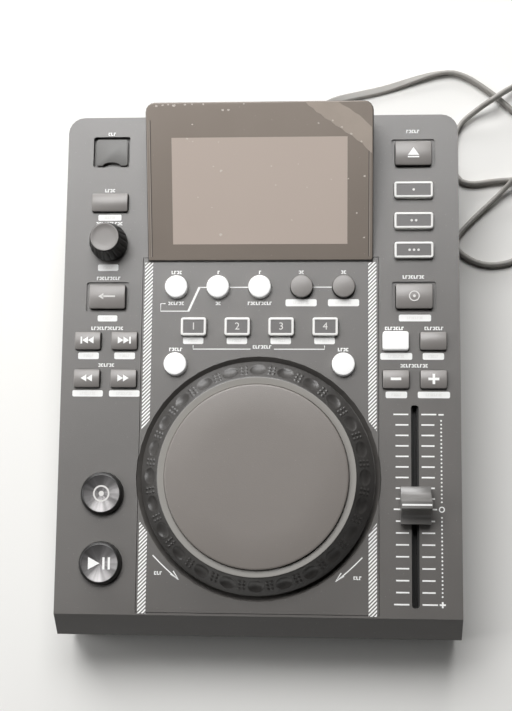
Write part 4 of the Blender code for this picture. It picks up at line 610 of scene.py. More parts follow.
CROWN_DROP = 0.0011
PLAIN_KEYS = (
    "track_back", "track_next", "search_back", "search_forward", "back", "reverse", "eject", "jog_mode", "tap",
    "bend_minus", "bend_plus",
)
for name in PLAIN_KEYS:
    cap = key_cap(name + "_key", 0.0010, 0.0004)
    crowned(cap, CROWN_DROP)
    # Upward faces take the grey, a painted sheen; the rest take the black, a painted shade.
    split_by(cap, lambda p: p.normal.z > 0.6)
    finish_key(cap, name + "_key", name + "_button", [key_side, sheened_key_top])

# Five round keys and the square key lock are milky white caps that a lamp lights from below. The last two
# round keys of their row have the same shape, painted grey on top and black on their sides like the plain keys.
for name, round_cap in (
    ("auto_loop", True), ("loop_in", True), ("loop_out", True), ("shift", True), ("slip", True), ("key_lock", False)
):
    cap = key_cap(name + "_key", 0.0014, 0.0006, round_cap)
    finish_key(cap, name + "_key", name + "_button", [key_lit])
for name in ("loop_half", "loop_double"):
    cap = key_cap(name + "_key", 0.0014, 0.0006, True)
    # Upward faces take the grey, a painted sheen; the rest take the black, a painted shade.
    split_by(cap, lambda p: p.normal.z > 0.5)
    finish_key(cap, name + "_key", name + "_button", [key_side, sheened_key_top])


# The source keys and the hot cue keys are white frames that light up round a smoked insert, which lies
# a little below the frame.
INSERT_SINK = 0.0003


def framed_key(node, body, border):
    """A key's cap with a frame round its sunk insert."""
    cap = key_cap(node, 0.0014, 0.0005)
    body_mesh = bmesh.new()
    body_mesh.from_mesh(cap.data)
    crown = max(body_mesh.faces, key=lambda f: f.calc_area() if f.normal.z > 0.9 else 0)
    bmesh.ops.inset_individual(body_mesh, faces=[crown], thickness=border - 0.0005)
    bmesh.ops.inset_individual(body_mesh, faces=[crown], thickness=0.0002, depth=-INSERT_SINK)
    crown.material_index = 1
    body_mesh.to_mesh(cap.data)
    body_mesh.free()
    finish_key(cap, node, body, [key_rim, key_insert])


for i in (1, 2, 3):
    framed_key(f"source_key_{i}", f"source_{i}_button", 0.0011)
for i in (1, 2, 3, 4):
    framed_key(f"hot_cue_key_{i}", f"hot_cue_{i}_button", 0.0012)

# The two big transport keys have turned faces with very fine rings and a rounded shiny black edge. The light that
# such rings throw out in wedges is painted into the face's colour, as lighter and darker wedges round it.
spun_finish, tree, shader = new_finish("spun_finish", (132, 130, 130), 0.36)
shader.inputs["Metallic"].default_value = 0.62
coords = tree.nodes.new("ShaderNodeUVMap")
coords.uv_map = "disc"
parts = tree.nodes.new("ShaderNodeSeparateXYZ")
# Painted reflection: noise round the face makes its colour lighter and darker in wedges.
painted_glint_wedges = tree.nodes.new("ShaderNodeTexNoise")
painted_glint_wedges.noise_dimensions = "1D"
painted_glint_wedges.inputs["Scale"].default_value = 9
painted_glint_wedges.inputs["Detail"].default_value = 2
level = tree.nodes.new("ShaderNodeMapRange")
level.inputs["From Min"].default_value = 0.35
level.inputs["From Max"].default_value = 0.65
level.inputs["To Min"].default_value = 0.65
level.inputs["To Max"].default_value = 1.35
tint = tree.nodes.new("ShaderNodeVectorMath")
tint.operation = "SCALE"
tint.inputs[0].default_value = shader.inputs["Base Color"].default_value[:3]
rings = tree.nodes.new("ShaderNodeMath")
rings.operation = "SINE"
many = tree.nodes.new("ShaderNodeMath")
many.operation = "MULTIPLY"
many.inputs[1].default_value = 420
bump = tree.nodes.new("ShaderNodeBump")
bump.inputs["Strength"].default_value = 0.12
bump.inputs["Distance"].default_value = 0.0001
tree.links.new(coords.outputs["UV"], parts.inputs["Vector"])
tree.links.new(parts.outputs["X"], painted_glint_wedges.inputs["W"])
tree.links.new(painted_glint_wedges.outputs["Fac"], level.inputs["Value"])
tree.links.new(level.outputs["Result"], tint.inputs["Scale"])
tree.links.new(tint.outputs["Vector"], shader.inputs["Base Color"])
tree.links.new(parts.outputs["Y"], many.inputs[0])
tree.links.new(many.outputs["Value"], rings.inputs[0])
tree.links.new(rings.outputs["Value"], bump.inputs["Height"])
tree.links.new(bump.outputs["Normal"], shader.inputs["Normal"])
SPUN_SIDES = 96
SPUN_SINK = 0.0004
for name in ("cue", "play"):
    low, high = span_of(name + "_key")
    reach = (high.x - low.x) / 2 - FLANGE_LIP
    centre = Vector(((low.x + high.x) / 2, (low.y + high.y) / 2, 0))
    outline = [
        (0, high.z - SPUN_SINK), (reach * 0.82, high.z - SPUN_SINK), (reach * 0.86, high.z),
        (reach * 0.93, high.z - 0.0002), (reach * 0.98, high.z - 0.0009), (reach, high.z - 0.0018), (reach, low.z),
    ]
    disc = bmesh.new()
    wheel = []
    for radius, height in outline:
        angles = [i * math.tau / SPUN_SIDES for i in range(SPUN_SIDES if radius else 1)]
        wheel.append([
            disc.verts.new(centre + Vector((radius * math.cos(a), radius * math.sin(a), height))) for a in angles
        ])
    layer = disc.loops.layers.uv.new("disc")
    for inner, outer in zip(wheel, wheel[1:]):
        for i in range(SPUN_SIDES):
            j = (i + 1) % SPUN_SIDES
            if len(inner) == 1:
                corners, turns = (inner[0], outer[i], outer[j]), (i + 0.5, i, i + 1)
            else:
                corners, turns = (inner[i], outer[i], outer[j], inner[j]), (i, i, i + 1, i + 1)
            made = disc.faces.new(corners)
            made.material_index = 1 if outer in wheel[:3] else 0
            for loop, turn in zip(made.loops, turns):
                at = loop.vert.co - centre
                loop[layer].uv = (turn / SPUN_SIDES, math.hypot(at.x, at.y) / reach)
    disc.faces.new(list(reversed(wheel[-1])))
    finish_key(shape_of(disc), name + "_key", name + "_button", [key_side, spun_finish])


# The jog wheel is a shiny black moulded ring whose sloping band has 24 finger dimples, with six small pips
# between each pair, round a plain rim and a broad matt plate that feels the hand.
JOG = DECK @ Matrix.Translation((0, 0.0729, 0))
JOG_TURNS = 1440
BAND_ROWS = 30
BAND_INNER = Vector((0.05265, 0.0132))
BAND_OUTER = Vector((0.0613, 0.00425))
DIMPLES = 24
DIMPLE_REACH, DIMPLE_DEPTH = 0.0043, 0.0011
PIP_REACH, PIP_HEIGHT = 0.0009, 0.0006
PIP_COLUMN, PIP_ROW = 0.00115, 0.0027
PLAIN_ROWS = 5

ring_finish, tree, shader = new_finish("jog_ring_finish", (62, 60, 58), 0.36)
shader.inputs["Specular IOR Level"].default_value = 1.0
grained(tree, shader, 1600, 0.12, 0.15, 50)
rim_finish, tree, shader = new_finish("jog_rim_finish", (152, 149, 144), 0.4)
grained(tree, shader, 1600, 0.08, 0.06, 40)

band = BAND_OUTER - BAND_INNER
outward = Vector((-band.y, band.x)).normalized()
pitch = math.tau / DIMPLES
turns = np.arange(JOG_TURNS) * math.tau / JOG_TURNS
profile = [(0.0482, 0.0095, None), (0.0487, 0.0128, None), (0.0489, 0.0131, None), (0.0493, 0.0132, None)]
profile += [(0.0520, 0.0133, None), (0.0523, 0.01335, None)]
profile += [(*(BAND_INNER + band * (i / BAND_ROWS)), i / BAND_ROWS) for i in range(BAND_ROWS + 1)]
profile += [(0.06185, 0.0037, None), (0.06212, 0.0032, None), (0.06214, 0.0004, None), (0.0600, -0.0012, None)]
rows = []
for radius, height, share in profile:
    lift = np.zeros(JOG_TURNS)
    if share is not None:
        along = (share - 0.5) * band.length
        offset = (turns + pitch / 2) % pitch - pitch / 2
        arc = offset * radius
        hollow = np.clip(1 - (arc ** 2 + along ** 2) / DIMPLE_REACH ** 2, 0, 1)
        lift -= DIMPLE_DEPTH * hollow ** 0.8
        between = turns % pitch - pitch / 2
        for column in (-1, 1):
            for row in (-1, 0, 1):
                from_pip = np.hypot(between * radius - column * PIP_COLUMN, along - row * PIP_ROW)
                lift += PIP_HEIGHT * np.clip(1 - (from_pip / PIP_REACH) ** 2, 0, 1)
    reach, rise = radius + lift * outward.x, height + lift * outward.y
    rows.append(np.stack([reach * np.cos(turns), reach * np.sin(turns), rise + turns * 0], 1))
points = np.concatenate(rows)
faces, which = [], []
for row in range(len(profile) - 1):
    a = np.arange(JOG_TURNS) + row * JOG_TURNS
    b = np.roll(np.arange(JOG_TURNS), -1) + row * JOG_TURNS
    faces += np.stack([a, a + JOG_TURNS, b + JOG_TURNS, b], 1).tolist()
    which += [1 if row < PLAIN_ROWS else 0] * JOG_TURNS
mesh = bpy.data.meshes.new("jog_ring")
mesh.from_pydata(points.tolist(), [], faces)
mesh.polygons.foreach_set("material_index", which)
mesh.shade_smooth()
mesh.set_sharp_from_angle(angle=math.radians(40))
jog_ring = bpy.data.objects.new("jog_ring", mesh)
bpy.context.scene.collection.objects.link(jog_ring)
settled(jog_ring, "jog_ring", [ring_finish, rim_finish], "jog_wheel", JOG)
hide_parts("jog_platter")


# The plate in the ring is a flat disc with a softened edge, which feels the hand. It is matt, and shows dust.
# It stands a little over the rim, and turns with it.
def turned(outline, sides):
    """A shape turned on its axis from points of radius and height, from the middle of its top outwards."""
    body = bmesh.new()
    rings = []
    for radius, height in outline:
        rings.append([
            body.verts.new((radius * math.cos(i * math.tau / sides), radius * math.sin(i * math.tau / sides), height))
            for i in range(sides if radius else 1)
        ])
    for inner, outer in zip(rings, rings[1:]):
        for i in range(sides):
            j = (i + 1) % sides
            if len(outer) == 1:
                corners = (inner[i], outer[0], inner[j])
            elif len(inner) == 1:
                corners = (inner[0], outer[i], outer[j])
            else:
                corners = (inner[i], outer[i], outer[j], inner[j])
            body.faces.new(corners)
    shape = shape_of(body)
    shape.data.shade_smooth()
    shape.data.set_sharp_from_angle(angle=math.radians(40))
    return shape


plate_finish, tree, shader = new_finish("jog_plate_finish", (126, 120, 115), 0.42)
shader.inputs["Specular IOR Level"].default_value = 0.7
dusted(tree, shader, grained(tree, shader, 2400, 0.3, 0.05, 18), 380, 0.04, (170, 164, 158))
PLATE_OUTLINE = [
    (0, 0.0156), (0.03, 0.0156), (0.0474, 0.0156), (0.0479, 0.01552), (0.0483, 0.0153), (0.0484, 0.0149),
    (0.0484, 0.0115), (0, 0.0115),
]
plate = turned(PLATE_OUTLINE, 192)
settled(plate, "jog_plate", plate_finish, "jog_wheel", JOG)
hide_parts("jog_touch_plate")


# The selector is a black plastic knob with a fluted skirt that narrows upwards, and a pale dished cap let into
# its top. It is pushed onto a stem that turns and presses in.
knob_low, knob_high = span_of("encoder_knob")
knob_middle = (knob_low + knob_high) / 2
KNOB = DECK @ Matrix.Translation((knob_middle.x, knob_middle.y, 0))
knob_side, tree, shader = new_finish("knob_side_finish", (44, 44, 43), 0.42)
grained(tree, shader, 1500, 0.2)
knob_cap, tree, shader = new_finish("knob_cap_finish", (124, 120, 117), 0.45)
shader.inputs["Specular IOR Level"].default_value = 0.8
grained(tree, shader, 1800, 0.12, 0.06, 60)
fluted = bmesh.new()
FLUTES = 18
KNOB_SIDES = FLUTES * 8
SKIRT_ROWS = 7
KNOB_ROWS = [
    (0.01035, 0.0016, 0), (0.01035, 0.0022, 0.02), (0.01030, 0.0050, 0.07), (0.0100, 0.0062, 0.07),
    (0.0092, 0.0100, 0.065), (0.0083, 0.0140, 0.05), (0.0080, 0.0150, 0), (0.0077, 0.0154, 0),
    (0.0073, 0.0155, 0), (0.0069, 0.0153, 0), (0.004, 0.01515, 0), (0, 0.0151, 0),
]
rings = []
for radius, height, depth in KNOB_ROWS:
    ring = []
    for i in range(KNOB_SIDES if radius else 1):
        angle = i * math.tau / KNOB_SIDES
        reach = radius * (1 - depth * max(0, math.cos(FLUTES * angle)) ** 2)
        ring.append(fluted.verts.new((reach * math.cos(angle), reach * math.sin(angle), height)))
    rings.append(ring)
for row, (lower, upper) in enumerate(zip(rings, rings[1:])):
    for i in range(KNOB_SIDES):
        j = (i + 1) % KNOB_SIDES
        corners = (lower[i], lower[j], upper[j], upper[i]) if len(upper) > 1 else (lower[i], lower[j], upper[0])
        fluted.faces.new(corners).material_index = 1 if row >= SKIRT_ROWS else 0
fluted.faces.new(list(reversed(rings[0])))
knob = shape_of(fluted)
knob.data.shade_smooth()
knob.data.set_sharp_from_angle(angle=math.radians(45))
settled(knob, "select_knob_cap", [knob_side, knob_cap], "select_knob", KNOB)
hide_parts("encoder_knob")


# The pitch fader's cap is a satin black saddle: a flat lip at each end, slopes that hollow in towards a narrow
# ridge for the finger, and a white line across the ridge that points at the scale.
fader_low, fader_high = span_of("fader_cap")
FADER = DECK @ Matrix.Translation(((fader_low.x + fader_high.x) / 2, (fader_low.y + fader_high.y) / 2, 0))
fader_half = (fader_high.x - fader_low.x) / 2
SADDLE_HALF = [
    (0.0099, 0.0010), (0.0099, 0.0058), (0.0096, 0.0063), (0.0070, 0.0066), (0.0066, 0.0069), (0.0053, 0.0080),
    (0.0042, 0.0098), (0.0033, 0.0122), (0.0026, 0.0150), (0.0022, 0.0168), (0.0018, 0.0175),
]
outline = [*SADDLE_HALF, *((-y, z) for y, z in reversed(SADDLE_HALF))]
saddle = bmesh.new()
face = saddle.faces.new([saddle.verts.new((-fader_half, y, z)) for y, z in outline])
moved = bmesh.ops.extrude_face_region(saddle, geom=[face])
far_end = [v for v in moved["geom"] if isinstance(v, bmesh.types.BMVert)]
bmesh.ops.translate(saddle, verts=far_end, vec=(2 * fader_half, 0, 0))
bmesh.ops.recalc_face_normals(saddle, faces=saddle.faces)
ends = [e for e in saddle.edges if abs(e.verts[0].co.x - e.verts[1].co.x) < 1e-6]
bmesh.ops.bevel(saddle, geom=ends, offset=0.0003, segments=2, affect="EDGES", profile=0.5)
fader_finish, tree, shader = new_finish("fader_cap_finish", (116, 114, 112), 0.3)
shader.inputs["Specular IOR Level"].default_value = 0.9
grained(tree, shader, 1800, 0.1, 0.08, 90)
fader = shape_of(saddle)
fader.data.shade_smooth()
fader.data.set_sharp_from_angle(angle=math.radians(35))
settled(fader, "fader_saddle", fader_finish, "pitch_fader", FADER)
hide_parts("fader_cap")

# All the marks on the panel and the keys are printed in white ink, so they lie a hair above the plastic. Small
# legends stand over the keys, and white label boxes under them.
ink, tree, shader = new_finish("white_ink", (252, 252, 250), 0.5)
grained(tree, shader, 2200, 0.1, 0.04, 120)
label_ink, tree, shader = new_finish("label_grey_ink", (244, 243, 241), 0.5)
grained(tree, shader, 2200, 0.1, 0.04, 120)
INK_LIFT = 0.00006


def bar(prints, x, v, width, height, lift=INK_LIFT):
    """One printed oblong on the panel, by its middle."""
    corners = ((-1, -1), (1, -1), (1, 1), (-1, 1))
    prints.faces.new([prints.verts.new((x + sx * width / 2, v + sy * height / 2, lift)) for sx, sy in corners])


def rounded_bar(prints, x, v, width, height):
    """A printed oblong with rounded corners."""
    radius = height * 0.22
    prints.faces.new([
        prints.verts.new((
            x + cx * (width / 2 - radius) + radius * math.cos(math.radians(start + 30 * step)),
            v + cv * (height / 2 - radius) + radius * math.sin(math.radians(start + 30 * step)), INK_LIFT,
        ))
        for cx, cv, start in ((1, 1, 0), (-1, 1, 90), (-1, -1, 180), (1, -1, 270)) for step in range(4)
    ])


def stroke(prints, points, width, lift=INK_LIFT):
    """A printed line of even width through the given points."""
    sides = []
    for i, point in enumerate(points):
        before, after = Vector(points[max(i - 1, 0)]), Vector(points[min(i + 1, len(points) - 1)])
        along = (after - before).normalized()
        across = Vector((-along.y, along.x)) * width / 2
        sides.append((Vector(point) + across, Vector(point) - across))
    for (a, b), (c, d) in zip(sides, sides[1:]):
        prints.faces.new([prints.verts.new((p.x, p.y, lift)) for p in (a, b, d, c)])


def ring_mark(prints, x, v, radius, width, lift=INK_LIFT, sides=32):
    """A printed ring, by its middle."""
    angles = [i * math.tau / sides for i in range(sides + 1)]
    stroke(prints, [(x + radius * math.cos(a), v + radius * math.sin(a)) for a in angles], width, lift)


def dot(prints, x, v, radius, lift=INK_LIFT, sides=14):
    """A printed dot."""
    angles = [i * math.tau / sides for i in range(sides)]
    prints.faces.new([prints.verts.new((x + radius * math.cos(a), v + radius * math.sin(a), lift)) for a in angles])


def wedge_mark(prints, x, v, width, height, to, lift=INK_LIFT):
    """A printed arrowhead that points right for 1 and left for -1."""
    back, tip = x - to * width / 2, x + to * width / 2
    corners = ((back, v - height / 2), (tip, v), (back, v + height / 2))
    prints.faces.new([prints.verts.new((*corner, lift)) for corner in corners])


def legend(prints, x, v, letters, height, lift=INK_LIFT):
    """A printed row of small square strokes."""
    step = height * 0.78
    shapes = ((1, 1, 0), (1, 0, 1), (0, 1, 1), (1, 1, 1))
    for i in range(letters):
        middle = x + (i - (letters - 1) / 2) * step
        left, bottom, top = shapes[(i * 5 + letters) % 4]
        bar(prints, middle - height * 0.17 * (1 if left else -1), v, height * 0.3, height, lift)
        if bottom:
            bar(prints, middle, v - height * 0.36, height * 0.62, height * 0.28, lift)
        if top:
            bar(prints, middle, v + height * 0.36, height * 0.62, height * 0.28, lift)


LEGENDS = [
    (-83.6, 263.4, 3), (-83.9, 231.0, 4), (-83.8, 212.2, 10), (-83.4, 181.4, 9), (-83.4, 153.6, 12),
    (-83.4, 133.3, 6), (83.3, 263.4, 5), (83.2, 181.8, 8), (72.8, 153.6, 7), (94.0, 153.6, 7),
    (83.3, 133.3, 10), (-45.8, 184.6, 4), (-45.8, 167.4, 6), (-22.7, 167.4, 2), (0.0, 167.4, 9),
    (-45.5, 142.0, 5), (45.3, 142.0, 4), (1.5, 143.4, 7), (-22.7, 184.6, 1), (0.0, 184.6, 1),
    (22.5, 184.6, 2), (45.5, 184.6, 2), (-52.6, 22.0, 3), (53.0, 20.6, 3),
]
LABEL_BOXES = [
    (-83.6, 215.6, 12.9, 3.4), (-83.8, 187.4, 11.4, 3.7), (-83.4, 159.1, 10.9, 3.4), (-93.3, 138.4, 11.4, 3.7),
    (-73.4, 138.4, 11.4, 3.7), (-93.2, 117.8, 16.7, 3.5), (-73.1, 117.8, 16.7, 3.5), (83.9, 159.3, 17.3, 3.7),
    (73.8, 138.4, 17.1, 3.7), (93.6, 138.4, 11.4, 3.7), (73.8, 117.6, 11.5, 3.6), (93.7, 117.6, 17.1, 3.5),
    (22.5, 167.7, 16.9, 3.9), (45.5, 167.7, 16.9, 3.9), (-36.0, 146.8, 11.1, 3.7), (-12.2, 146.8, 11.1, 3.7),
    (11.6, 146.8, 11.1, 3.7), (35.3, 146.8, 11.1, 3.7),
]
prints, box_legends = bmesh.new(), bmesh.new()
for x, v, letters in LEGENDS:
    legend(prints, x / 1000, v / 1000, letters, 0.0019)
for x, v, width, height in LABEL_BOXES:
    rounded_bar(prints, x / 1000, v / 1000, width / 1000, height / 1000)
    legend(box_legends, x / 1000, v / 1000, max(3, round(width / 2.1)), 0.0014, 2 * INK_LIFT)

# Thin lines tie the loop keys and the hot cue keys together, and a thicker stroke joins two of them. A bent
# arrow on each side of the jog wheel's foot shows which way it turns.
KEY_LINES = [
    [(-51.6, 167.3), (-54.2, 167.3), (-54.2, 163.1), (-38.8, 163.1)], [(-33.4, 176.3), (-29.0, 176.3)],
    [(-16.3, 176.3), (-6.4, 176.3)], [(28.9, 176.3), (39.1, 176.3)],
    [(-36.0, 144.2), (-36.0, 142.2), (-4.8, 142.2)], [(8.0, 142.2), (35.3, 142.2), (35.3, 144.2)],
]
for line in KEY_LINES:
    stroke(prints, [(x / 1000, v / 1000) for x, v in line], 0.0005)
stroke(prints, [(-0.0390, 0.1630), (-0.0331, 0.1764)], 0.0012)
for side in (-1, 1):
    curve = [
        (side * (55.6 - 14.0 * t - 1.6 * t * (1 - t)) / 1000, (31.3 - 12.6 * t - 3.4 * t * (1 - t)) / 1000)
        for t in (0, 0.25, 0.5, 0.75, 1)
    ]
    stroke(prints, curve, 0.0006)
    stroke(prints, [(side * 0.0460, 0.0215), (side * 0.0415, 0.0187), (side * 0.0445, 0.0232)], 0.0006)

# The fader's scale has cross lines on both sides of the slot, long at the ends and at nought, and a row of
# dots beyond them with a minus, a ring and a plus.
FADER_X = (fader_low.x + fader_high.x) / 2
SCALE_NOUGHT = 0.0568
SCALE_STEP_UP, SCALE_STEP_DOWN = 0.00559, 0.00619
TICK_START, TICK_END, LONG_TICK_END = 0.0034, 0.0103, 0.0114
DOTS_X = 0.0974
for i in range(18):
    v = SCALE_NOUGHT + (9 - i) * (SCALE_STEP_UP if i < 9 else SCALE_STEP_DOWN)
    reach = LONG_TICK_END if i in (0, 9, 17) else TICK_END
    for side in (-1, 1):
        bar(prints, FADER_X + side * (TICK_START + reach) / 2, v, reach - TICK_START, 0.0008)
for i in range(46):
    v = 0.0115 + i * 0.00205
    if abs(v - SCALE_NOUGHT) > 0.0024:
        dot(prints, DOTS_X, v, 0.0005, sides=8)
ring_mark(prints, DOTS_X, SCALE_NOUGHT, 0.0013, 0.0006)
bar(prints, DOTS_X, 0.1070, 0.0028, 0.0008)
bar(prints, DOTS_X, 0.0073, 0.0032, 0.0009)
bar(prints, DOTS_X, 0.0073, 0.0009, 0.0032, INK_LIFT * 1.5)
settled(shape_of(prints), "panel_print", ink, "housing", DECK)
settled(shape_of(box_legends), "label_print", label_ink, "housing", DECK)

# Two pale strips with fine dark slanting lines run down beside the middle plate, and stop where the
# jog wheel's dish cuts into them.
HATCH_PITCH = 0.00145
STRIP_SHAPES = (
    ((58.85, 190.2), (63.25, 190.2), (63.25, 98.0), (58.85, 103.5)),
    ((58.85, 43.5), (63.25, 49.5), (63.25, 0.8), (58.85, 0.8)),
)
hatch, tree, shader = new_finish("hatch_finish", (226, 225, 223), 0.45)
coords = tree.nodes.new("ShaderNodeTexCoord")
turn = tree.nodes.new("ShaderNodeMapping")
turn.inputs["Rotation"].default_value = (0, 0, math.radians(45))
parts = tree.nodes.new("ShaderNodeSeparateXYZ")
count = tree.nodes.new("ShaderNodeMath")
count.operation = "MULTIPLY"
count.inputs[1].default_value = math.tau / HATCH_PITCH
wave = tree.nodes.new("ShaderNodeMath")
wave.operation = "SINE"
mask = tree.nodes.new("ShaderNodeMapRange")
mask.inputs["From Min"].default_value = -0.1
mask.inputs["From Max"].default_value = 0.3
mix = tree.nodes.new("ShaderNodeMix")
mix.data_type = "RGBA"
mix.inputs["A"].default_value = colour(254, 253, 251)
mix.inputs["B"].default_value = colour(118, 115, 112)
tree.links.new(coords.outputs["Object"], turn.inputs["Vector"])
tree.links.new(turn.outputs["Vector"], parts.inputs["Vector"])
tree.links.new(parts.outputs["X"], count.inputs[0])
tree.links.new(count.outputs["Value"], wave.inputs[0])
tree.links.new(wave.outputs["Value"], mask.inputs["Value"])
tree.links.new(mask.outputs["Result"], mix.inputs["Factor"])
tree.links.new(mix.outputs["Result"], shader.inputs["Base Color"])
strips = bmesh.new()
for side in (-1, 1):
    for shape in STRIP_SHAPES:
        strips.faces.new([strips.verts.new((side * x / 1000, v / 1000, INK_LIFT)) for x, v in shape])
settled(shape_of(strips), "hatched_strips", hatch, "housing", DECK)

# The keys carry plain signs in the same white ink, or in one a little duller: double arrows to skip and to
# search, a triangle over a bar to eject, minus and plus, a ring, an arrow, dots, and figures on the hot cue keys.
pale_ink, tree, shader = new_finish("pale_ink", (222, 220, 217), 0.5)
grained(tree, shader, 2200, 0.1, 0.04, 120)


def signed(key, draw, tint, sink=0.0, node=None):
    """Prints a sign on the top of a key, which travels with it."""
    low, high = span_of(node or key + "_key")
    sign = bmesh.new()
    draw(sign, (low.x + high.x) / 2, (low.y + high.y) / 2, high.z - sink + 0.00005)
    settled(shape_of(sign), key + "_sign", tint, key + "_button", DECK)


def skip_sign(to, bars):
    """Two arrowheads one after the other, with a bar before them for a track key."""
    def draw(sign, x, v, lift):
        for i in (0, 1):
            wedge_mark(sign, x + to * (i - 0.5) * 0.0031 - to * 0.0003 * bars, v, 0.0031, 0.0038, to, lift)
        if bars:
            bar(sign, x + to * 0.0033, v, 0.0009, 0.0038, lift)
    return draw


def play_sign(sign, x, v, lift):
    """An arrowhead and two bars, to play and to pause."""
    wedge_mark(sign, x - 0.0030, v, 0.0062, 0.0066, 1, lift)
    for offset in (0.0022, 0.0051):
        bar(sign, x + offset, v, 0.0012, 0.0064, lift)


def eject_sign(sign, x, v, lift):
    """A triangle over a bar."""
    triangle = ((-0.0031, -0.0014), (0.0031, -0.0014), (0, 0.0030))
    sign.faces.new([sign.verts.new((x + a, v + b, lift)) for a, b in triangle])
    bar(sign, x, v - 0.0024, 0.0062, 0.0008, lift)


def minus_sign(sign, x, v, lift):
    """A short bar."""
    bar(sign, x, v, 0.0056, 0.0014, lift)


def plus_sign(sign, x, v, lift):
    """An upright bar with an arm on each side."""
    bar(sign, x - 0.0018, v, 0.0022, 0.0014, lift)
    bar(sign, x + 0.0018, v, 0.0022, 0.0014, lift)
    bar(sign, x, v, 0.0014, 0.0056, lift)


def cue_sign(sign, x, v, lift):
    """A ring round a dot, for the key that goes back to a set place."""
    ring_mark(sign, x, v, 0.0040, 0.0009, lift)
    dot(sign, x, v, 0.0014, lift)


def back_turn_sign(sign, x, v, lift):
    """An arrow that points back."""
    stroke(sign, [(x + 0.0045, v), (x - 0.0025, v)], 0.0009, lift)
    wedge_mark(sign, x - 0.0034, v, 0.0028, 0.0034, -1, lift)


def record_sign(sign, x, v, lift):
    """A small disc with its hole."""
    ring_mark(sign, x, v, 0.0026, 0.0006, lift)
    dot(sign, x, v, 0.0008, lift)


def source_sign(count):
    """A row of dots, one for each source in turn."""
    def draw(sign, x, v, lift):
        for k in range(count):
            dot(sign, x + (k - (count - 1) / 2) * 0.0024, v, 0.0007, lift)
    return draw


for key, draw, tint, sink in (
    ("track_back", skip_sign(-1, 1), ink, 0), ("track_next", skip_sign(1, 1), ink, 0),
    ("search_back", skip_sign(-1, 0), ink, 0), ("search_forward", skip_sign(1, 0), ink, 0),
    ("play", play_sign, ink, SPUN_SINK), ("cue", cue_sign, pale_ink, SPUN_SINK), ("eject", eject_sign, ink, 0),
    ("bend_minus", minus_sign, ink, 0), ("bend_plus", plus_sign, ink, 0),
    ("reverse", back_turn_sign, pale_ink, 0), ("jog_mode", record_sign, pale_ink, 0),
):
    signed(key, draw, tint, sink)
for i in (1, 2, 3):
    signed(f"source_{i}", source_sign(i), pale_ink, INSERT_SINK, f"source_key_{i}")
for i in (1, 2, 3, 4):
    low, high = span_of(f"hot_cue_key_{i}")
    bpy.ops.object.text_add(location=((low.x + high.x) / 2, (low.y + high.y) / 2, high.z - INSERT_SINK + 0.00005))
    figure = bpy.context.object
    figure.data.body = str(i)
    figure.data.size = 0.0056
    figure.data.align_x, figure.data.align_y = "CENTER", "CENTER"
    bpy.ops.object.convert(target="MESH")
    settled(bpy.context.object, f"hot_cue_{i}_figure", pale_ink, f"hot_cue_{i}_button", DECK)
    bpy.ops.object.select_all(action="DESELECT")

# A white line is printed along the ridge of the fader's cap. It points at the scale beside the slot, and moves
# with the cap.
marks = bmesh.new()
bar(marks, 0, 0, 2 * fader_half - 0.0006, 0.0009, 0.01755)
settled(shape_of(marks), "fader_line", ink, "pitch_fader", FADER)


# A flap with a notch for a finger covers the socket for memory sticks. It sits in a square pocket with rounded
# corners, which shows all round it; the pocket's walls are painted near black, a painted shade in the recess.
POCKET_X = -0.0835158
FLAP_MIDDLE, POCKET_MIDDLE = 0.2530, 0.25307
FLAP_HALF, FLAP_BELOW, FLAP_ABOVE = 0.0089, 0.0076, 0.0075
CORNER = 0.0015
NOTCH_HALF, NOTCH_DEPTH = 0.0050, 0.0019


def corner_points(x, v, start):
    """The points of a quarter turn round a corner's middle, from a starting angle in degrees."""
    angles = [math.radians(start + 18 * step) for step in range(6)]
    return [(x + CORNER * math.cos(angle), v + CORNER * math.sin(angle)) for angle in angles]


flap_top_z = span_of("usb_flap")[1].z
side_x = FLAP_HALF - CORNER
foot_v, head_v = FLAP_MIDDLE - FLAP_BELOW, FLAP_MIDDLE + FLAP_ABOVE
outline = [
    *corner_points(side_x, head_v - CORNER, 0), *corner_points(-side_x, head_v - CORNER, 90),
    *corner_points(-side_x, foot_v + CORNER, 180),
]
for step in range(13):
    share = -1 + step / 6
    outline.append((NOTCH_HALF * share, foot_v + NOTCH_DEPTH * math.sqrt(max(0, 1 - share * share)) + 0.00001))
outline += corner_points(side_x, foot_v + CORNER, 270)
flap_finish, tree, shader = new_finish("flap_finish", (112, 111, 109), 0.44)
grained(tree, shader, 2400, 0.3, 0.05, 50)
flap = bmesh.new()
face = flap.faces.new([flap.verts.new((x + POCKET_X, v, flap_top_z - 0.0012)) for x, v in outline])
raised = bmesh.ops.extrude_face_region(flap, geom=[face])
flap_top = [v for v in raised["geom"] if isinstance(v, bmesh.types.BMVert)]
bmesh.ops.translate(flap, verts=flap_top, vec=(0, 0, 0.0010))
bmesh.ops.recalc_face_normals(flap, faces=flap.faces)
upper = [e for e in flap.edges if all(v.co.z > flap_top_z - 0.0003 for v in e.verts)]
bmesh.ops.bevel(flap, geom=upper, offset=0.00025, segments=2, affect="EDGES", profile=0.5)
flap_piece = shape_of(flap)
flap_piece.data.shade_smooth()
flap_piece.data.set_sharp_from_angle(angle=math.radians(40))
settled(flap_piece, "stick_flap", flap_finish, "usb_cover", DECK)
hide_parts("usb_flap")
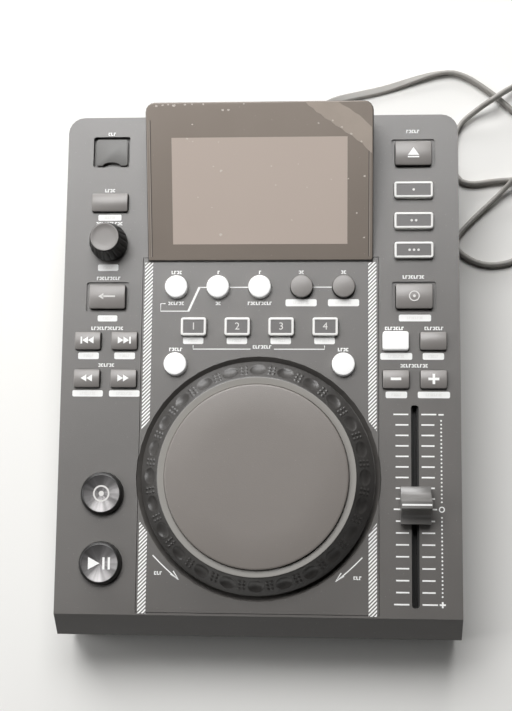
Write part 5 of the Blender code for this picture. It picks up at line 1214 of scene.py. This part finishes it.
# Painted shade: the walls of the recess round the flap are near black.
pocket_painted_shade, tree, shader = new_finish("pocket_painted_shade", (30, 30, 29), 0.6)
grained(tree, shader, 1800, 0.2)
pocket_walls = bmesh.new()
sides = []
for half_x, half_v, height in ((0.01022, 0.00872, -0.0002), (0.01018, 0.00868, -0.0028)):
    quarters = [
        corner_points(POCKET_X + cx * (half_x - CORNER), POCKET_MIDDLE + cv * (half_v - CORNER), start)
        for cx, cv, start in ((1, 1, 0), (-1, 1, 90), (-1, -1, 180), (1, -1, 270))
    ]
    sides.append([pocket_walls.verts.new((x, v, height)) for quarter in quarters for x, v in quarter])
for i in range(24):
    j = (i + 1) % 24
    pocket_walls.faces.new((sides[0][i], sides[0][j], sides[1][j], sides[1][i]))
settled(shape_of(pocket_walls), "stick_pocket_shaded_walls", pocket_painted_shade, "housing", DECK)


# Inside and underneath are plain working parts: a black tray and back wall, rubber feet, a plated drive with
# its turntable, rubber roller and laser sled, and a green circuit board.
tray_finish, tree, shader = new_finish("tray_finish", (52, 51, 50), 0.55)
dusted(tree, shader, grained(tree, shader, 1500, 0.5, 0.15, 20), 420, 0.04, (110, 108, 105))
satin_black, tree, shader = new_finish("satin_black_finish", (40, 40, 39), 0.4)
grained(tree, shader, 1600, 0.2)
turned_metal, tree, shader = new_finish("turned_metal_finish", (190, 188, 184), 0.3)
shader.inputs["Metallic"].default_value = 1
grained(tree, shader, 900, 0.15, 0.08, 90)
plated_sheet, tree, shader = new_finish("plated_sheet_finish", (172, 174, 174), 0.36)
shader.inputs["Metallic"].default_value = 1
grained(tree, shader, 500, 0.12, 0.14, 45)
board_green, tree, shader = new_finish("board_green_finish", (34, 92, 56), 0.42)
grained(tree, shader, 700, 0.2, 0.2, 130)
rubber, tree, shader = new_finish("rubber_finish", (36, 36, 35), 0.82)
grained(tree, shader, 1100, 0.6, 0.2, 80)
for finish, clad_nodes in (
    (tray_finish, ("bottom_tray", "rear_panel")),
    (satin_black, ("display_module", "fader_body", "power_switch", "pickup_sled")),
    (turned_metal, ("jog_bearing", "jog_spindle", "fader_lever", "encoder_stem", "usb_socket", "drive_turntable")),
    (plated_sheet, ("drive_chassis",)),
    (board_green, ("control_board",)),
    (rubber, ("feed_roller", "foot_front_left", "foot_front_right", "foot_rear_left", "foot_rear_right")),
    (flex_finish, ("lead_connector", "mains_plug")),
):
    for node in clad_nodes:
        clad(node, finish)
